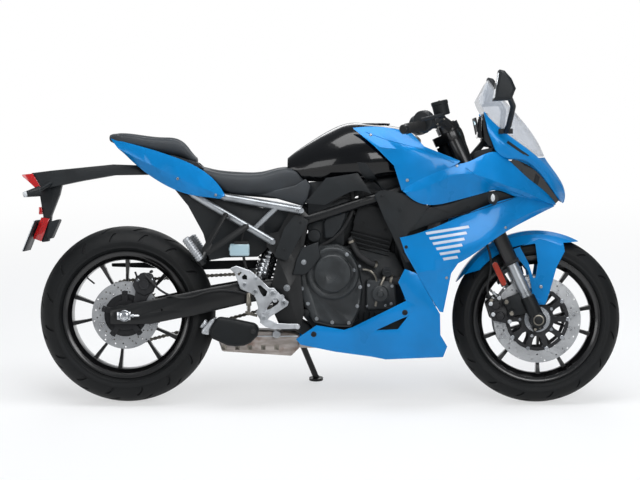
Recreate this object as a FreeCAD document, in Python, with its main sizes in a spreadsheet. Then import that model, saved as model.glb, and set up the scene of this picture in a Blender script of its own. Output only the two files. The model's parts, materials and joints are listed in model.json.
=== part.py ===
"""A faired middleweight sport bike, parked on its side stand.

The bike is drawn upright in its own frame: +X forward, +Y to its left, +Z up, with the floor at Z 0
and X 0 half way between the axles. The parked stance then leans the whole bike to its left about the
line through both tyre contacts.
"""

import FreeCAD, Part
import Sketcher
import math
import os

from FreeCAD import Placement, Rotation, Vector

# Driving dimensions, in millimetres and degrees.
SIZES = {
    # stance and steering geometry
    "lean_angle": 10.0,
    "rake_angle": 25.0,
    "head_forward": 434.0,
    "head_height": 862.0,
    "fork_offset": 32.5,
    "fork_half_spacing": 105.0,
    "pivot_rear": 155.0,
    "pivot_height": 416.0,
    "swingarm_length": 586.3,
    "running_gap": 0.05,
    "seat_gap": 0.3,
    # wheels
    "front_wheel_radius": 300.0,
    "front_tyre_half_width": 60.0,
    "rear_wheel_radius": 315.0,
    "rear_tyre_half_width": 90.0,
    "front_bead_half_width": 44.5,
    "rear_bead_half_width": 70.0,
    "front_wheel_turn": 20.3,
    "rear_wheel_turn": -14.0,
    "bead_radius": 216.0,
    "rim_flange_height": 11.0,
    "rim_barrel_wall": 8.0,
    "rim_well_depth": 12.0,
    "spoke_pair_angle": 28.0,
    "spoke_width": 11.0,
    "spoke_depth": 30.0,
    "front_hub_radius": 34.0,
    "front_hub_half_width": 58.0,
    "rear_hub_radius": 52.0,
    "rear_hub_half_width": 90.0,
    "front_axle_radius": 10.0,
    "rear_axle_radius": 12.5,
    # brakes and chain
    "front_disc_radius": 155.0,
    "front_disc_offset": 66.0,
    "rear_disc_radius": 120.0,
    "rear_disc_offset": 97.0,
    "disc_band": 44.0,
    "disc_bore": 27.0,
    "rear_carrier_radius": 48.0,
    "drill_radius": 3.2,
    "disc_thickness": 4.5,
    "chain_offset": 104.0,
    "chain_width": 13.0,
    "chain_height": 15.0,
    "chain_waist": 10.0,
    "chain_plate": 1.8,
    "chain_pitch": 15.875,
    "chain_seat": 0.4,
    "tooth_height": 5.0,
    "tooth_thickness": 7.6,
    "rear_sprocket_radius": 108.0,
    "front_sprocket_radius": 41.0,
    "output_shaft_rear": 75.0,
    "output_shaft_height": 420.0,
    # fork
    "head_tube_radius": 34.0,
    "head_tube_length": 130.0,
    "stem_radius": 24.0,
    "outer_tube_radius": 27.0,
    "inner_tube_radius": 20.5,
    "outer_tube_reach": 411.0,
    "yoke_thickness": 32.0,
    "yoke_gap": 5.0,
    "bar_half_width": 385.0,
    "bar_radius": 11.0,
    "grip_radius": 17.0,
    "grip_length": 125.0,
    # swingarm
    "arm_inner": 116.0,
    "arm_thickness": 28.0,
    "arm_bevel": 6.0,
    "pivot_lug_radius": 23.0,
    "pivot_shaft_radius": 10.0,
    "pivot_lug_half_width": 118.0,
    "bobbin_hole_radius": 4.0,
    "bobbin_hole_depth": 18.0,
    "bobbin_hole_rear": 600.0,
    "bobbin_hole_height": 336.0,
    # frame
    "plate_inner": 122.0,
    "plate_thickness": 16.0,
    "spar_radius": 18.0,
    "spar_spread": 126.0,
    "subframe_tube_radius": 13.0,
    "subframe_spread": 104.0,
    # engine
    "crankcase_half_width": 92.0,
    "crankcase_front": 258.0,
    "cover_stand_out": 26.0,
    "air_box_half_width": 88.0,
    "muffler_inner": 108.0,
    "muffler_outer": 176.0,
    "cylinder_half_width": 96.0,
    "clutch_forward": 4.0,
    "clutch_height": 465.0,
    "clutch_radius": 94.0,
    "clutch_stand_out": 62.0,
    "alternator_radius": 82.0,
    "pipe_radius": 19.0,
    # bodywork
    "panel_wall": 4.0,
    "tank_half_width": 150.0,
    "seat_half_width": 128.0,
    "screen_wall": 4.0,
    # side stand
    "stand_pivot_rear": 150.0,
    "stand_pivot_side": 164.0,
    "stand_pivot_height": 292.0,
    "stand_foot_rear": 60.0,
    "stand_foot_side": 300.0,
    "stand_stowed_side": 0.13,
    "stand_stowed_drop": 0.1,
    "stand_tube_radius": 11.0,
    # mirrors
    "mirror_inner": 262.0,
    "mirror_outer": 380.0,
}

doc = FreeCAD.newDocument("sport_bike")
sheet = doc.addObject("Spreadsheet::Sheet", "Sizes")
for row, (alias, value) in enumerate(SIZES.items(), start=1):
    sheet.set(f"A{row}", str(value))
    sheet.setAlias(f"A{row}", alias)
doc.recompute()


def size(alias):
    """The value of a driving dimension."""
    return float(sheet.get(alias))


Y_AXIS = Vector(0, 1, 0)
Z_AXIS = Vector(0, 0, 1)
LEAN = size("lean_angle")
RAKE = size("rake_angle")
GAP = size("seat_gap")
RUN = size("running_gap")

# Datum points of the upright bike.
HEAD = Vector(size("head_forward"), 0, size("head_height"))
STEER_UP = Vector(-math.sin(math.radians(RAKE)), 0, math.cos(math.radians(RAKE)))
STEER_FORWARD = Vector(math.cos(math.radians(RAKE)), 0, math.sin(math.radians(RAKE)))
FORK = Placement(HEAD, Rotation(Y_AXIS, -RAKE))
LEG_TOP = HEAD + STEER_FORWARD * size("fork_offset")
# A tyre with a round crown rises a little as the bike leans over, the wider one by more.
LEAN_RISE = size("rear_tyre_half_width") * (1 - math.cos(math.radians(LEAN)))
FRONT_RISE = size("front_tyre_half_width") * (1 - math.cos(math.radians(LEAN)))
LEG_REACH = (LEG_TOP.z - size("front_wheel_radius") + LEAN_RISE - FRONT_RISE) / STEER_UP.z
FRONT_AXLE = LEG_TOP - STEER_UP * LEG_REACH
PIVOT = Vector(-size("pivot_rear"), 0, size("pivot_height"))
REAR_AXLE_DROP = PIVOT.z - size("rear_wheel_radius")
REAR_AXLE = Vector(
    PIVOT.x - math.sqrt(size("swingarm_length") ** 2 - REAR_AXLE_DROP**2), 0, size("rear_wheel_radius")
)
CLUTCH = Vector(size("clutch_forward"), 0, size("clutch_height"))
STANCE = Placement(Vector(0, 0, LEAN_RISE), Rotation(Vector(1, 0, 0), -LEAN))

def floor_height(y, above=0.0):
    """The height of the parked bike's floor at a distance from the centre plane, in the upright frame."""
    turn = math.radians(LEAN)
    return (y * math.sin(turn) - LEAN_RISE + above) / math.cos(turn)


# The side stand's hinge turns about an axis that also folds the stand up beside the wheel.
STAND_PIVOT = Vector(-size("stand_pivot_rear"), size("stand_pivot_side"), size("stand_pivot_height"))
STAND_FOOT = Vector(-size("stand_foot_rear"), size("stand_foot_side"), floor_height(size("stand_foot_side")))
STAND_STOWED = Vector(-1, size("stand_stowed_side"), -size("stand_stowed_drop")).normalize()
STAND_AXIS = (STAND_FOOT - STAND_PIVOT).cross(STAND_STOWED).normalize()

pieces = {}
# Both sides' shapes of what the handlebars carry.
bar_parts = {"handlebars": [], "grips": [], "bar_controls": []}


def keep(label, item):
    """Registers a document object as the sub-part of that label."""
    item.Label = label
    pieces[label] = item
    return item


def solid(label, shape):
    """Adds a sub-part whose shape is drawn in the upright bike's frame."""
    item = doc.addObject("Part::Feature", label)
    item.Shape = shape
    return keep(label, item)


def shape_of(label):
    """The shape of a sub-part in the upright bike's frame."""
    return pieces[label].Shape.copy()


def fork_solid(label, shape):
    """Adds a sub-part whose shape is drawn along the steering axis, with the head tube's centre as origin."""
    shape = shape.copy()
    shape.transformShape(FORK.toMatrix())
    return solid(label, shape)


def mirrored(shape):
    """The other side's copy of a shape."""
    return shape.mirror(Vector(), Y_AXIS)


def both_sides(shape):
    """A shape and its mirror image in one compound."""
    return Part.makeCompound([shape, mirrored(shape)])


def fused(*shapes):
    """One solid from several that overlap."""
    shape = shapes[0]
    if len(shapes) > 1:
        shape = shape.fuse(list(shapes[1:]))
    return shape.removeSplitter()


def rod(start, end, radius):
    """A round bar between two points."""
    return Part.makeCylinder(radius, (end - start).Length, start, end - start)


def across(radius, x, z, y_from, y_to):
    """A round bar that runs across the bike."""
    return Part.makeCylinder(radius, y_to - y_from, Vector(x, y_from, z), Y_AXIS)


def rounded_corner(before, corner, after, radius):
    """The start, middle and end of an arc that rounds a corner between two others."""
    back, ahead = before - corner, after - corner
    half_turn = (math.pi - back.getAngle(ahead)) / 2
    reach = min(radius * math.tan(half_turn), 0.45 * back.Length, 0.45 * ahead.Length)
    start = corner + back.normalize() * reach
    end = corner + ahead.normalize() * reach
    arc_radius = reach / math.tan(half_turn)
    inwards = ((start + end) * 0.5 - corner).normalize()
    return start, corner + inwards * (arc_radius / math.cos(half_turn) - arc_radius), end


def rounded_wire(corners, radius):
    """A closed outline of straight runs whose corners are arcs of one radius."""
    count = len(corners)
    ends = []
    for i, corner in enumerate(corners):
        ends.append(rounded_corner(corners[i - 1], corner, corners[(i + 1) % count], radius))
    edges = []
    for i, (start, middle, end) in enumerate(ends):
        edges.append(Part.Arc(start, middle, end).toShape())
        edges.append(Part.makeLine(end, ends[(i + 1) % count][0]))
    return Part.Wire(edges)


def plate(outline, y_from, y_to, radius=0.0):
    """A flat plate with a side outline of (X, Z) corners."""
    corners = [Vector(x, y_from, z) for x, z in outline]
    wire = rounded_wire(corners, radius) if radius else Part.makePolygon(corners + corners[:1])
    return Part.Face(wire).extrude(Vector(0, y_to - y_from, 0))


def tube_along(points, radius, bend):
    """A round tube along straight runs joined by arcs."""
    edges = []
    last = points[0]
    for before, corner, after in zip(points, points[1:], points[2:]):
        start, middle, end = rounded_corner(before, corner, after, bend)
        edges.append(Part.makeLine(last, start))
        edges.append(Part.Arc(start, middle, end).toShape())
        last = end
    edges.append(Part.makeLine(last, points[-1]))
    section = Part.Wire(Part.makeCircle(radius, points[0], points[1] - points[0]))
    return Part.Wire(edges).makePipeShell([section], True, False)


def smooth(points):
    """A smooth curve through points."""
    if len(points) == 2:
        return Part.makeLine(points[0], points[1])
    curve = Part.BSplineCurve()
    curve.interpolate(points)
    return curve.toShape()


def skin(curves, wall):
    """A sheet of bodywork between curves that run along the bike, one wall thick."""
    edges = [smooth(points) for points in curves]
    sheets = [Part.makeRuledSurface(a, b).extrude(wall) for a, b in zip(edges, edges[1:])]
    return fused(*sheets)


def closed_section(x, rows):
    """A smooth closed cross-section at one X, from (half width, Z) pairs that run from the top down."""
    right = [Vector(x, -half, z) for half, z in rows]
    left = [Vector(x, half, z) for half, z in reversed(rows) if half > 0]
    curve = Part.BSplineCurve()
    curve.interpolate(Points=right + left, PeriodicFlag=True)
    return Part.Wire(curve.toShape())


def loft(sections):
    """A solid through cross-sections."""
    return Part.makeLoft(sections, True, False)


def largest(shape):
    """The largest solid of a shape."""
    return max(shape.Solids, key=lambda part: part.Volume)


def drum(radius, x, z, y_from, y_to, bevel):
    """A round boss that runs out sideways, with a bevelled rim at its outer end."""
    way = math.copysign(1, y_to - y_from)
    straight = Part.makeCylinder(radius, abs(y_to - y_from) - bevel, Vector(x, y_from, z), Y_AXIS * way)
    edge = Part.makeCone(radius, radius - bevel, bevel, Vector(x, y_to - way * bevel, z), Y_AXIS * way)
    return straight.fuse(edge)


def bevelled(shape, width, *levels):
    """A plate with a chamfer along the edges of its faces at the given Y levels."""
    edges = []
    for edge in shape.Edges:
        for level in levels:
            if all(abs(vertex.Y - level) < 0.01 for vertex in edge.Vertexes):
                edges.append(edge)
    return shape.makeChamfer(width, edges)


def pitch_radius(alias):
    """The radius that the chain's pins run on round a sprocket."""
    return size(alias) + size("chain_seat") + size("chain_height") / 2


def toothed_plate(centre, root, y_from, y_to):
    """A sprocket's plate, with teeth that stand between the chain's plates."""
    pitch_line = root + size("chain_seat") + size("chain_height") / 2
    count = round(2 * math.pi * pitch_line / size("chain_pitch"))
    corners = []
    for i in range(count):
        for share, radius in ((-0.34, root), (-0.12, root + size("tooth_height")),
                              (0.12, root + size("tooth_height")), (0.34, root)):
            turn = 2 * math.pi * (i + share) / count
            corners.append((centre.x + radius * math.cos(turn), centre.z + radius * math.sin(turn)))
    return plate(corners, y_from, y_to)


def foot_peg(x, z, side):
    """A ribbed foot peg that stands out from its hanger."""
    start, end = side * 166, side * 236
    low, high = sorted((start, end))
    bar = Part.makeBox(26, high - low, 14, Vector(x - 13, low, z - 8))
    bar = bar.makeFillet(3, [edge for edge in bar.Edges if abs(edge.Vertexes[0].Y - edge.Vertexes[1].Y) > 1])
    ribs = []
    for i in range(8):
        low, high = sorted((side * (176 + i * 7.5), side * (179.6 + i * 7.5)))
        ribs.append(Part.makeBox(27, high - low, 5, Vector(x - 13.5, low, z + 4)))
    low, high = sorted((side * 160, side * 176))
    return fused(bar, across(10, x, z, low, high), *ribs)


def finish_stance():
    """Leans every sub-part over into the parked stance."""
    for item in pieces.values():
        item.Placement = STANCE.multiply(item.Placement)
    doc.recompute()
    box = Part.makeCompound([item.Shape for item in pieces.values()]).BoundBox
    shift = Vector(-round((box.XMin + box.XMax) / 2), -round((box.YMin + box.YMax) / 2), 0)
    for item in pieces.values():
        item.Placement = Placement(shift, Rotation()).multiply(item.Placement)
    doc.recompute()
    return shift


class Dim:
    """A length that knows both its value and the sheet expression behind it."""

    def __init__(self, value, text=None):
        self.value = float(value)
        self.text = text or repr(float(value))

    def _join(self, other, sign, compute):
        other = other if isinstance(other, Dim) else Dim(other)
        return Dim(compute(self.value, other.value), f"({self.text} {sign} {other.text})")

    def __add__(self, other):
        return self._join(other, "+", lambda a, b: a + b)

    def __sub__(self, other):
        return self._join(other, "-", lambda a, b: a - b)

    def __mul__(self, other):
        return self._join(other, "*", lambda a, b: a * b)

    def __neg__(self):
        return Dim(-self.value, f"(0 - {self.text})")


def dim(alias):
    """A driving dimension as an expression."""
    return Dim(size(alias), f"Sizes.{alias}")


def new_body(label):
    """Adds a sub-part that is built from sketches."""
    body = doc.addObject("PartDesign::Body", label)
    return keep(label, body)


def sketch_on(body, role, name):
    """An empty sketch on one of a body's own planes."""
    sketch = body.newObject("Sketcher::SketchObject", name)
    plane = next(item for item in body.Origin.OriginFeatures if item.Role == role)
    sketch.AttachmentSupport = [(plane, "")]
    sketch.MapMode = "FlatFace"
    return sketch


def outline(sketch, corners):
    """A closed outline whose corners are pairs of Dims or numbers, each bound to its expression."""
    corners = [tuple(c if isinstance(c, Dim) else Dim(c) for c in corner) for corner in corners]
    first = sketch.GeometryCount
    points = [Vector(a.value, b.value, 0) for a, b in corners]
    for i, point in enumerate(points):
        sketch.addGeometry(Part.LineSegment(point, points[(i + 1) % len(points)]), False)
    for i in range(len(points)):
        sketch.addConstraint(Sketcher.Constraint("Coincident", first + i, 2, first + (i + 1) % len(points),
                                                 1))
    for i, corner in enumerate(corners):
        for kind, value in zip(("DistanceX", "DistanceY"), corner):
            index = sketch.addConstraint(Sketcher.Constraint(kind, -1, 1, first + i, 1, value.value))
            if "Sizes" in value.text:
                sketch.setExpression(f"Constraints[{index}]", value.text)
    return sketch


def revolve(body, name, corners):
    """Turns an outline of (radius, Y) corners about the body's Y axis."""
    sketch = outline(sketch_on(body, "XY_Plane", name + "_outline"), corners)
    feature = body.newObject("PartDesign::Revolution", name)
    feature.Profile = sketch
    feature.ReferenceAxis = (sketch, ["V_Axis"])
    feature.Angle = 360.0
    sketch.Visibility = False
    return feature


def repeat(body, name, feature, sketch, count):
    """Repeats a feature evenly round a body's axle."""
    ring = body.newObject("PartDesign::PolarPattern", name)
    ring.Originals = [feature]
    ring.Axis = (sketch, ["N_Axis"])
    ring.Angle = 360.0
    ring.Occurrences = count
    body.Tip = ring


def pierce(body, name, inner, outer, half_angle, drills, count):
    """Cuts windows and drilled holes right through a disc and repeats them round its axle."""
    sketch = sketch_on(body, "XZ_Plane", name + "_outline")
    corners = []
    for radius, angle in ((inner, -half_angle), (outer, -half_angle), (outer, half_angle),
                          (inner, half_angle)):
        corners.append((radius * math.cos(math.radians(angle)), radius * math.sin(math.radians(angle))))
    outline(sketch, corners)
    for radius, angle in drills:
        centre = Vector(radius * math.cos(math.radians(angle)), radius * math.sin(math.radians(angle)), 0)
        circle = sketch.addGeometry(Part.Circle(centre, Z_AXIS, size("drill_radius")), False)
        index = sketch.addConstraint(Sketcher.Constraint("Radius", circle, size("drill_radius")))
        sketch.setExpression(f"Constraints[{index}]", "Sizes.drill_radius")
    pocket = body.newObject("PartDesign::Pocket", name)
    pocket.Profile = sketch
    pocket.Type = "ThroughAll"
    pocket.Midplane = True
    body.Tip = pocket
    repeat(body, name + "_ring", pocket, sketch, count)


def tyre_corners(radius, half, bead_half):
    """The section of a tyre as (radius, Y) corners, with a corner of the crown right at the parked lean."""
    crown = [LEAN, 27.0, 45.0, 62.0, 78.0]
    centre = radius - half
    outer = [(centre + half * math.cos(math.radians(a)), half * math.sin(math.radians(a))) for a in crown]
    bead = Dim(size("bead_radius"), "Sizes.bead_radius")
    wall = 9.0
    side = [
        (bead.value + 30.0, half.value - 0.5),
        (bead.value + 17.0, bead_half.value + (half.value - bead_half.value) * 0.6),
        (bead + 11.6, bead_half - 0.5),
        (bead + RUN, bead_half - 1.5),
        (bead + RUN, bead_half - 10.0),
        (bead.value + 16.0, bead_half.value - 4.0),
        (bead.value + 30.0, half.value - wall),
    ]
    inner = [
        (centre + (half - wall) * math.cos(math.radians(a)), (half - wall) * math.sin(math.radians(a)))
        for a in (70.0, 42.0, 14.0)
    ]
    right = outer + side + inner
    left = [(r, -y) for r, y in reversed(right)]
    return right + left


def tyre(label, radius, half, bead_half, centre):
    """A road tyre, turned about its own centre."""
    body = new_body(label)
    corners = tyre_corners(radius, half, bead_half)
    revolve(body, label + "_carcass", corners)
    body.Placement = Placement(centre, Rotation())
    return body


def rim(label, half_flange, hub, hub_half, bore, centre, turn):
    """A cast rim with five pairs of slim spokes, turned about its own centre."""
    body = new_body(label)
    bead = dim("bead_radius")
    flange = bead + dim("rim_flange_height")
    wall = dim("rim_barrel_wall")
    well = bead - dim("rim_well_depth")
    revolve(body, label + "_hub", [(bore, -hub_half), (hub, -hub_half), (hub, hub_half), (bore, hub_half)])
    spokes = sketch_on(body, "XZ_Plane", label + "_spoke_outline")
    half_pair = math.radians(size("spoke_pair_angle") / 2)
    half_root, half_tip = size("spoke_width") * 0.62, size("spoke_width") * 0.5
    for way in (-1, 1):
        turned = math.pi / 2 + way * half_pair
        root = Vector(-way * (half_root + 1.2), hub.value - 12, 0)
        tip = Vector(math.cos(turned), math.sin(turned), 0) * (bead.value - 13)
        run = (tip - root).normalize()
        side = Vector(-run.y, run.x, 0)
        quad = [root - side * half_root, tip - side * half_tip, tip + side * half_tip,
                root + side * half_root]
        outline(spokes, [(p.x, p.y) for p in quad])
    pad = body.newObject("PartDesign::Pad", label + "_spokes")
    pad.Profile = spokes
    pad.Midplane = True
    pad.Length = size("spoke_depth")
    pad.setExpression("Length", "Sizes.spoke_depth")
    body.Tip = pad
    repeat(body, label + "_spoke_pairs", pad, spokes, 5)
    edge = half_flange + 4
    revolve(body, label + "_barrel", [
        (flange, -edge), (flange, -half_flange), (bead, -half_flange + 1), (bead, -half_flange + 14),
        (well, -half_flange + 22), (well, half_flange - 22), (bead, half_flange - 14), (bead,
                                                                                        half_flange - 1),
        (flange, half_flange), (flange, edge), (bead - wall, edge), (bead - wall, half_flange - 12),
        (well - wall, half_flange - 24), (well - wall, -half_flange + 24), (bead - wall, -half_flange + 12),
        (bead - wall, -edge),
    ])
    body.Placement = Placement(centre, Rotation(Y_AXIS, turn))
    return body


def washer(label, inner, outer, y_from, y_to, centre):
    """A flat ring turned about its own centre."""
    body = new_body(label)
    revolve(body, label + "_ring", [(inner, y_from), (outer, y_from), (outer, y_to), (inner, y_to)])
    body.Placement = Placement(centre, Rotation())
    return body


def wheels():
    """Both wheels with their tyres, brake discs and the chain's driven sprocket."""
    front_half = dim("front_bead_half_width")
    rear_half = dim("rear_bead_half_width")
    rim("front_rim", front_half, dim("front_hub_radius"), dim("front_hub_half_width"),
        dim("front_axle_radius") + dim("running_gap"), FRONT_AXLE, size("front_wheel_turn"))
    rim("rear_rim", rear_half, dim("rear_hub_radius"), dim("rear_hub_half_width"),
        dim("rear_axle_radius") + dim("running_gap"), REAR_AXLE, size("rear_wheel_turn"))
    tyre("front_tyre", dim("front_wheel_radius"), dim("front_tyre_half_width"), front_half, FRONT_AXLE)
    tyre("rear_tyre", dim("rear_wheel_radius"), dim("rear_tyre_half_width"), rear_half, REAR_AXLE)

    disc, band, thick = dim("front_disc_radius"), dim("disc_band"), dim("disc_thickness")
    offset = dim("front_disc_offset")
    hub, hub_half, bore = dim("front_hub_radius"), dim("front_hub_half_width"), dim("disc_bore")
    inner = size("front_disc_radius") - size("disc_band")
    drills = [(inner + 9, 0.0), (inner + 22, 12.0), (inner + 35, 24.0)]
    discs = []
    for label, side in (("front_disc_right", -1), ("front_disc_left", 1)):
        body = doc.addObject("PartDesign::Body", label)
        discs.append(body)
        near, far = offset - thick * 0.5, offset + thick * 0.5
        rows = [
            (bore, hub_half), (hub + 14, hub_half), (disc - band, near), (disc, near), (disc, far),
            (disc - band, far), (hub + 14, hub_half + 5), (bore, hub_half + 5),
        ]
        revolve(body, label + "_plate", [(r, y if side > 0 else -y) for r, y in rows])
        pierce(body, label + "_piercing", size("front_hub_radius") + 20, inner - 8, 13.0, drills, 10)
    pair = doc.addObject("Part::Compound", "front_discs")
    pair.Links = discs
    pair.Placement = Placement(FRONT_AXLE, Rotation())
    keep("front_discs", pair)
    rear_offset, rear_disc, carrier = dim("rear_disc_offset"), dim("rear_disc_radius"), dim("rear_carrier_radius")
    washer("rear_disc", bore, rear_disc, -rear_offset - thick * 0.5, -rear_offset + thick * 0.5, REAR_AXLE)
    revolve(pieces["rear_disc"], "rear_disc_hub", [
        (bore, -rear_offset + thick * 0.5), (carrier, -rear_offset + thick * 0.5),
        (carrier, -dim("rear_hub_half_width")), (bore, -dim("rear_hub_half_width")),
    ])
    inner = size("rear_disc_radius") - size("disc_band")
    drills = [(inner + 8, 0.0), (inner + 20, 12.0), (inner + 32, 24.0)]
    pierce(pieces["rear_disc"], "rear_disc_piercing", size("rear_carrier_radius") + 4, inner - 6, 15.0,
           drills, 8)

    line, half_tooth = size("chain_offset"), size("tooth_thickness") / 2
    hub_face = size("rear_hub_half_width")
    teeth = toothed_plate(REAR_AXLE, size("rear_sprocket_radius"), line - half_tooth, line + half_tooth)
    windows = []
    for i in range(5):
        corners = []
        for radius, angle in ((62, -14), (94, -24), (94, 24), (62, 14)):
            turned = math.radians(angle + 72 * i + 36)
            corners.append((REAR_AXLE.x + radius * math.cos(turned), REAR_AXLE.z + radius * math.sin(turned)))
        windows.append(plate(corners, line - 10, line + 10, 8))
    boss = across(56, REAR_AXLE.x, REAR_AXLE.z, hub_face, line)
    bore = across(size("disc_bore"), REAR_AXLE.x, REAR_AXLE.z, hub_face - 1, line + 10)
    solid("rear_sprocket", fused(teeth, boss).cut([bore, *windows]))


def axles():
    """The two fixed axles with their end nuts and spacers."""
    front = new_body("front_axle")
    radius, half = dim("front_axle_radius"), dim("fork_half_spacing")
    revolve(front, "front_axle_bar", [
        (0.0, -half - 32), (15.0, -half - 32), (15.0, -half - 26), (radius, -half - 26),
        (radius, -(dim("front_hub_half_width") + 20)), (17.0, -(dim("front_hub_half_width") + 20)),
        (17.0, -(dim("front_hub_half_width") + 5.5)), (radius, -(dim("front_hub_half_width") + 5.5)),
        (radius, dim("front_hub_half_width") + 5.5), (17.0, dim("front_hub_half_width") + 5.5),
        (17.0, dim("front_hub_half_width") + 20), (radius, dim("front_hub_half_width") + 20),
        (radius, half + 26), (15.0, half + 26), (15.0, half + 32), (0.0, half + 32),
    ])
    front.Placement = Placement(FRONT_AXLE, Rotation())
    rear = new_body("rear_axle")
    radius, inner, thick = dim("rear_axle_radius"), dim("arm_inner"), dim("arm_thickness")
    right, left = -(dim("rear_disc_offset") + 3), dim("chain_offset") + 5
    outer = inner + thick
    revolve(rear, "rear_axle_bar", [
        (0.0, -outer - 14), (19.0, -outer - 14), (19.0, -outer), (radius, -outer), (radius, -inner),
        (21.0, -inner), (21.0, right), (radius, right), (radius, left), (21.0, left), (21.0, inner),
        (radius, inner), (radius, outer), (19.0, outer), (19.0, outer + 14), (0.0, outer + 14),
    ])
    rear.Placement = Placement(REAR_AXLE, Rotation())


def frame():
    """The tube frame with its pivot plates, and the bolted rear subframe."""
    inner, thick = size("plate_inner"), size("plate_thickness")
    head_radius, spread, spar = size("head_tube_radius"), size("spar_spread"), size("spar_radius")
    head_half = size("head_tube_length") / 2
    shape = rod(HEAD - STEER_UP * head_half, HEAD + STEER_UP * head_half, head_radius)
    spars = []
    plate_corners = [
        (-110, 700), (-80, 668), (-92, 600), (-112, 480), (-98, 330), (-112, 262), (-176, 262), (-206, 330),
        (-212, 420), (-192, 520), (-230, 560), (-226, 604), (-188, 612), (-146, 690),
    ]
    for side in (-1, 1):
        path = [
            Vector(440, side * 14, 838), Vector(300, side * 114, 775), Vector(100, side * spread, 715),
            Vector(-110, side * spread, 646),
        ]
        spars.append(tube_along(path, spar, 70))
        low, high = sorted((side * inner, side * (inner + thick)))
        spars.append(plate(plate_corners, low, high, 8))
    spars.append(across(14, -205, 585, -inner, inner))
    spars.append(across(12, -140, 290, -inner, inner))
    spars.append(across(size("pivot_shaft_radius"), PIVOT.x, PIVOT.z, -inner - thick - 6, inner + thick + 6))
    pivot, axis = STAND_PIVOT, STAND_AXIS
    side_on = (pivot.y - inner - thick / 2) / axis.y
    spars.append(rod(pivot - axis * side_on, pivot - axis * 13.5, 12))
    spars.append(rod(pivot - axis * side_on, pivot + axis * 14, 6))
    spars.append(rod(pivot + axis * 13.5, pivot + axis * 17, 10))
    shape = fused(shape, *spars)
    bore = rod(HEAD - STEER_UP * (head_half + 1), HEAD + STEER_UP * (head_half + 1),
               size("stem_radius") + RUN)
    solid("main_frame", shape.cut(bore))

    tube, side_at = size("subframe_tube_radius"), size("subframe_spread")
    tubes = []
    for side in (-1, 1):
        y = side * side_at
        y_front = side * (inner + thick + tube)
        tubes.append(tube_along([Vector(-106, y_front, 687), Vector(-377, y, 734),
                                 Vector(-700, side * (side_at - 54), 868)], tube, 90))
        tubes.append(rod(Vector(-207, y_front, 577), Vector(-492, side * (side_at - 16), 742), tube))
        tubes.append(rod(Vector(-190, side * (side_at + 33), 702), Vector(-277, side * (side_at + 31), 618),
                         tube * 0.75))
        tubes.append(rod(Vector(-490, side * (side_at - 16), 741), Vector(-560, side * (side_at - 31), 810),
                         tube))
        for x, z in ((-106, 687), (-207, 577)):
            tubes.append(across(9,
                                x, z, *sorted((side * (inner + thick),
                                               side * (inner + thick + 2 * tube + 4)))))
    tubes.append(across(tube, -377, 734, -side_at, side_at))
    tubes.append(across(tube, -640, 843, -side_at + 40, side_at - 40))
    solid("subframe", fused(*tubes).cut(shape_of("main_frame")))


def swingarm():
    """The two-sided swingarm with its pivot tube, shock absorber and chain guard."""
    lug, half = size("pivot_lug_radius"), size("pivot_lug_half_width")
    inner, thick, edge = size("arm_inner"), size("arm_thickness"), size("arm_bevel")
    outer = inner + thick
    shape = across(lug, PIVOT.x, PIVOT.z, -half, half)
    stations = [
        (PIVOT.x + 6, half - 30, half - 1, 398, 434), (-205, half - 30, half, 376, 440),
        (-290, inner - 8, outer - 4, 362, 438), (-460, inner, outer, 322, 408),
        (-640, inner, outer, 286, 370), (REAR_AXLE.x - 50, inner + 2, outer - 2, 286, 344),
    ]
    for side in (-1, 1):
        rings = []
        for x, near, far, low, high in stations:
            section = [(near, low), (far - edge, low), (far, low + 2 * edge), (far, high - 2 * edge),
                       (far - edge, high), (near, high)]
            corners = [Vector(x, side * y, z) for y, z in section]
            rings.append(Part.makePolygon(corners + corners[:1]))
        shape = shape.fuse(Part.makeLoft(rings, True, True))
    bridge = [(-200, 438), (-200, 380), (-300, 366), (-320, 380), (-300, 428)]
    shape = shape.fuse(plate(bridge, -half, half - 6, 10))
    wheel_space = across(size("rear_wheel_radius") + 12, REAR_AXLE.x, REAR_AXLE.z, -100, 100)
    shaft = across(size("pivot_shaft_radius"), PIVOT.x, PIVOT.z, -half - 1, half + 1)
    axle = across(size("rear_axle_radius"), REAR_AXLE.x, REAR_AXLE.z, -outer - 1, outer + 1)
    hole, depth = size("bobbin_hole_radius"), size("bobbin_hole_depth")
    holes = [
        across(hole, -size("bobbin_hole_rear"), size("bobbin_hole_height"), *span)
        for span in ((-outer - 1, -outer + depth), (outer - depth, outer + 1))
    ]
    solid("swingarm", shape.cut([wheel_space, shaft, axle, *holes]))

    top, bottom = Vector(-205, 0, 585), Vector(-258, 0, 412)
    run = bottom - top
    coils = [rod(top + run * share, top + run * (share + 0.045), 36) for share in (0.24, 0.33, 0.42, 0.51,
                                                                                   0.6, 0.69)]
    damper = fused(across(19, top.x, top.z, -16, 16), rod(top, bottom, 11), rod(top, top + run * 0.2, 24),
                   rod(top + run * 0.18, top + run * 0.8, 29), *coils)
    damper = damper.cut([across(14, top.x, top.z, -60, 60), shape_of("swingarm")])
    solid("shock_absorber", largest(damper))

    guard = plate([(-801, 492), (-500, 497), (-229, 506), (-222, 476), (-484, 469), (-801, 480)], 99, 112, 4)
    lip = plate([(-801, 492), (-500, 497), (-229, 506), (-229, 500), (-500, 491), (-801, 486)], 99, 121, 1)
    stay = plate([(-330, 430), (-300, 430), (-300, 480), (-330, 480)], 116, 121, 3)
    foot = plate([(-330, 474), (-300, 474), (-300, 482), (-330, 482)], 104, 121, 2)
    solid("chain_guard", fused(guard, lip, stay, foot).cut(shape_of("swingarm")))


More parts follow.
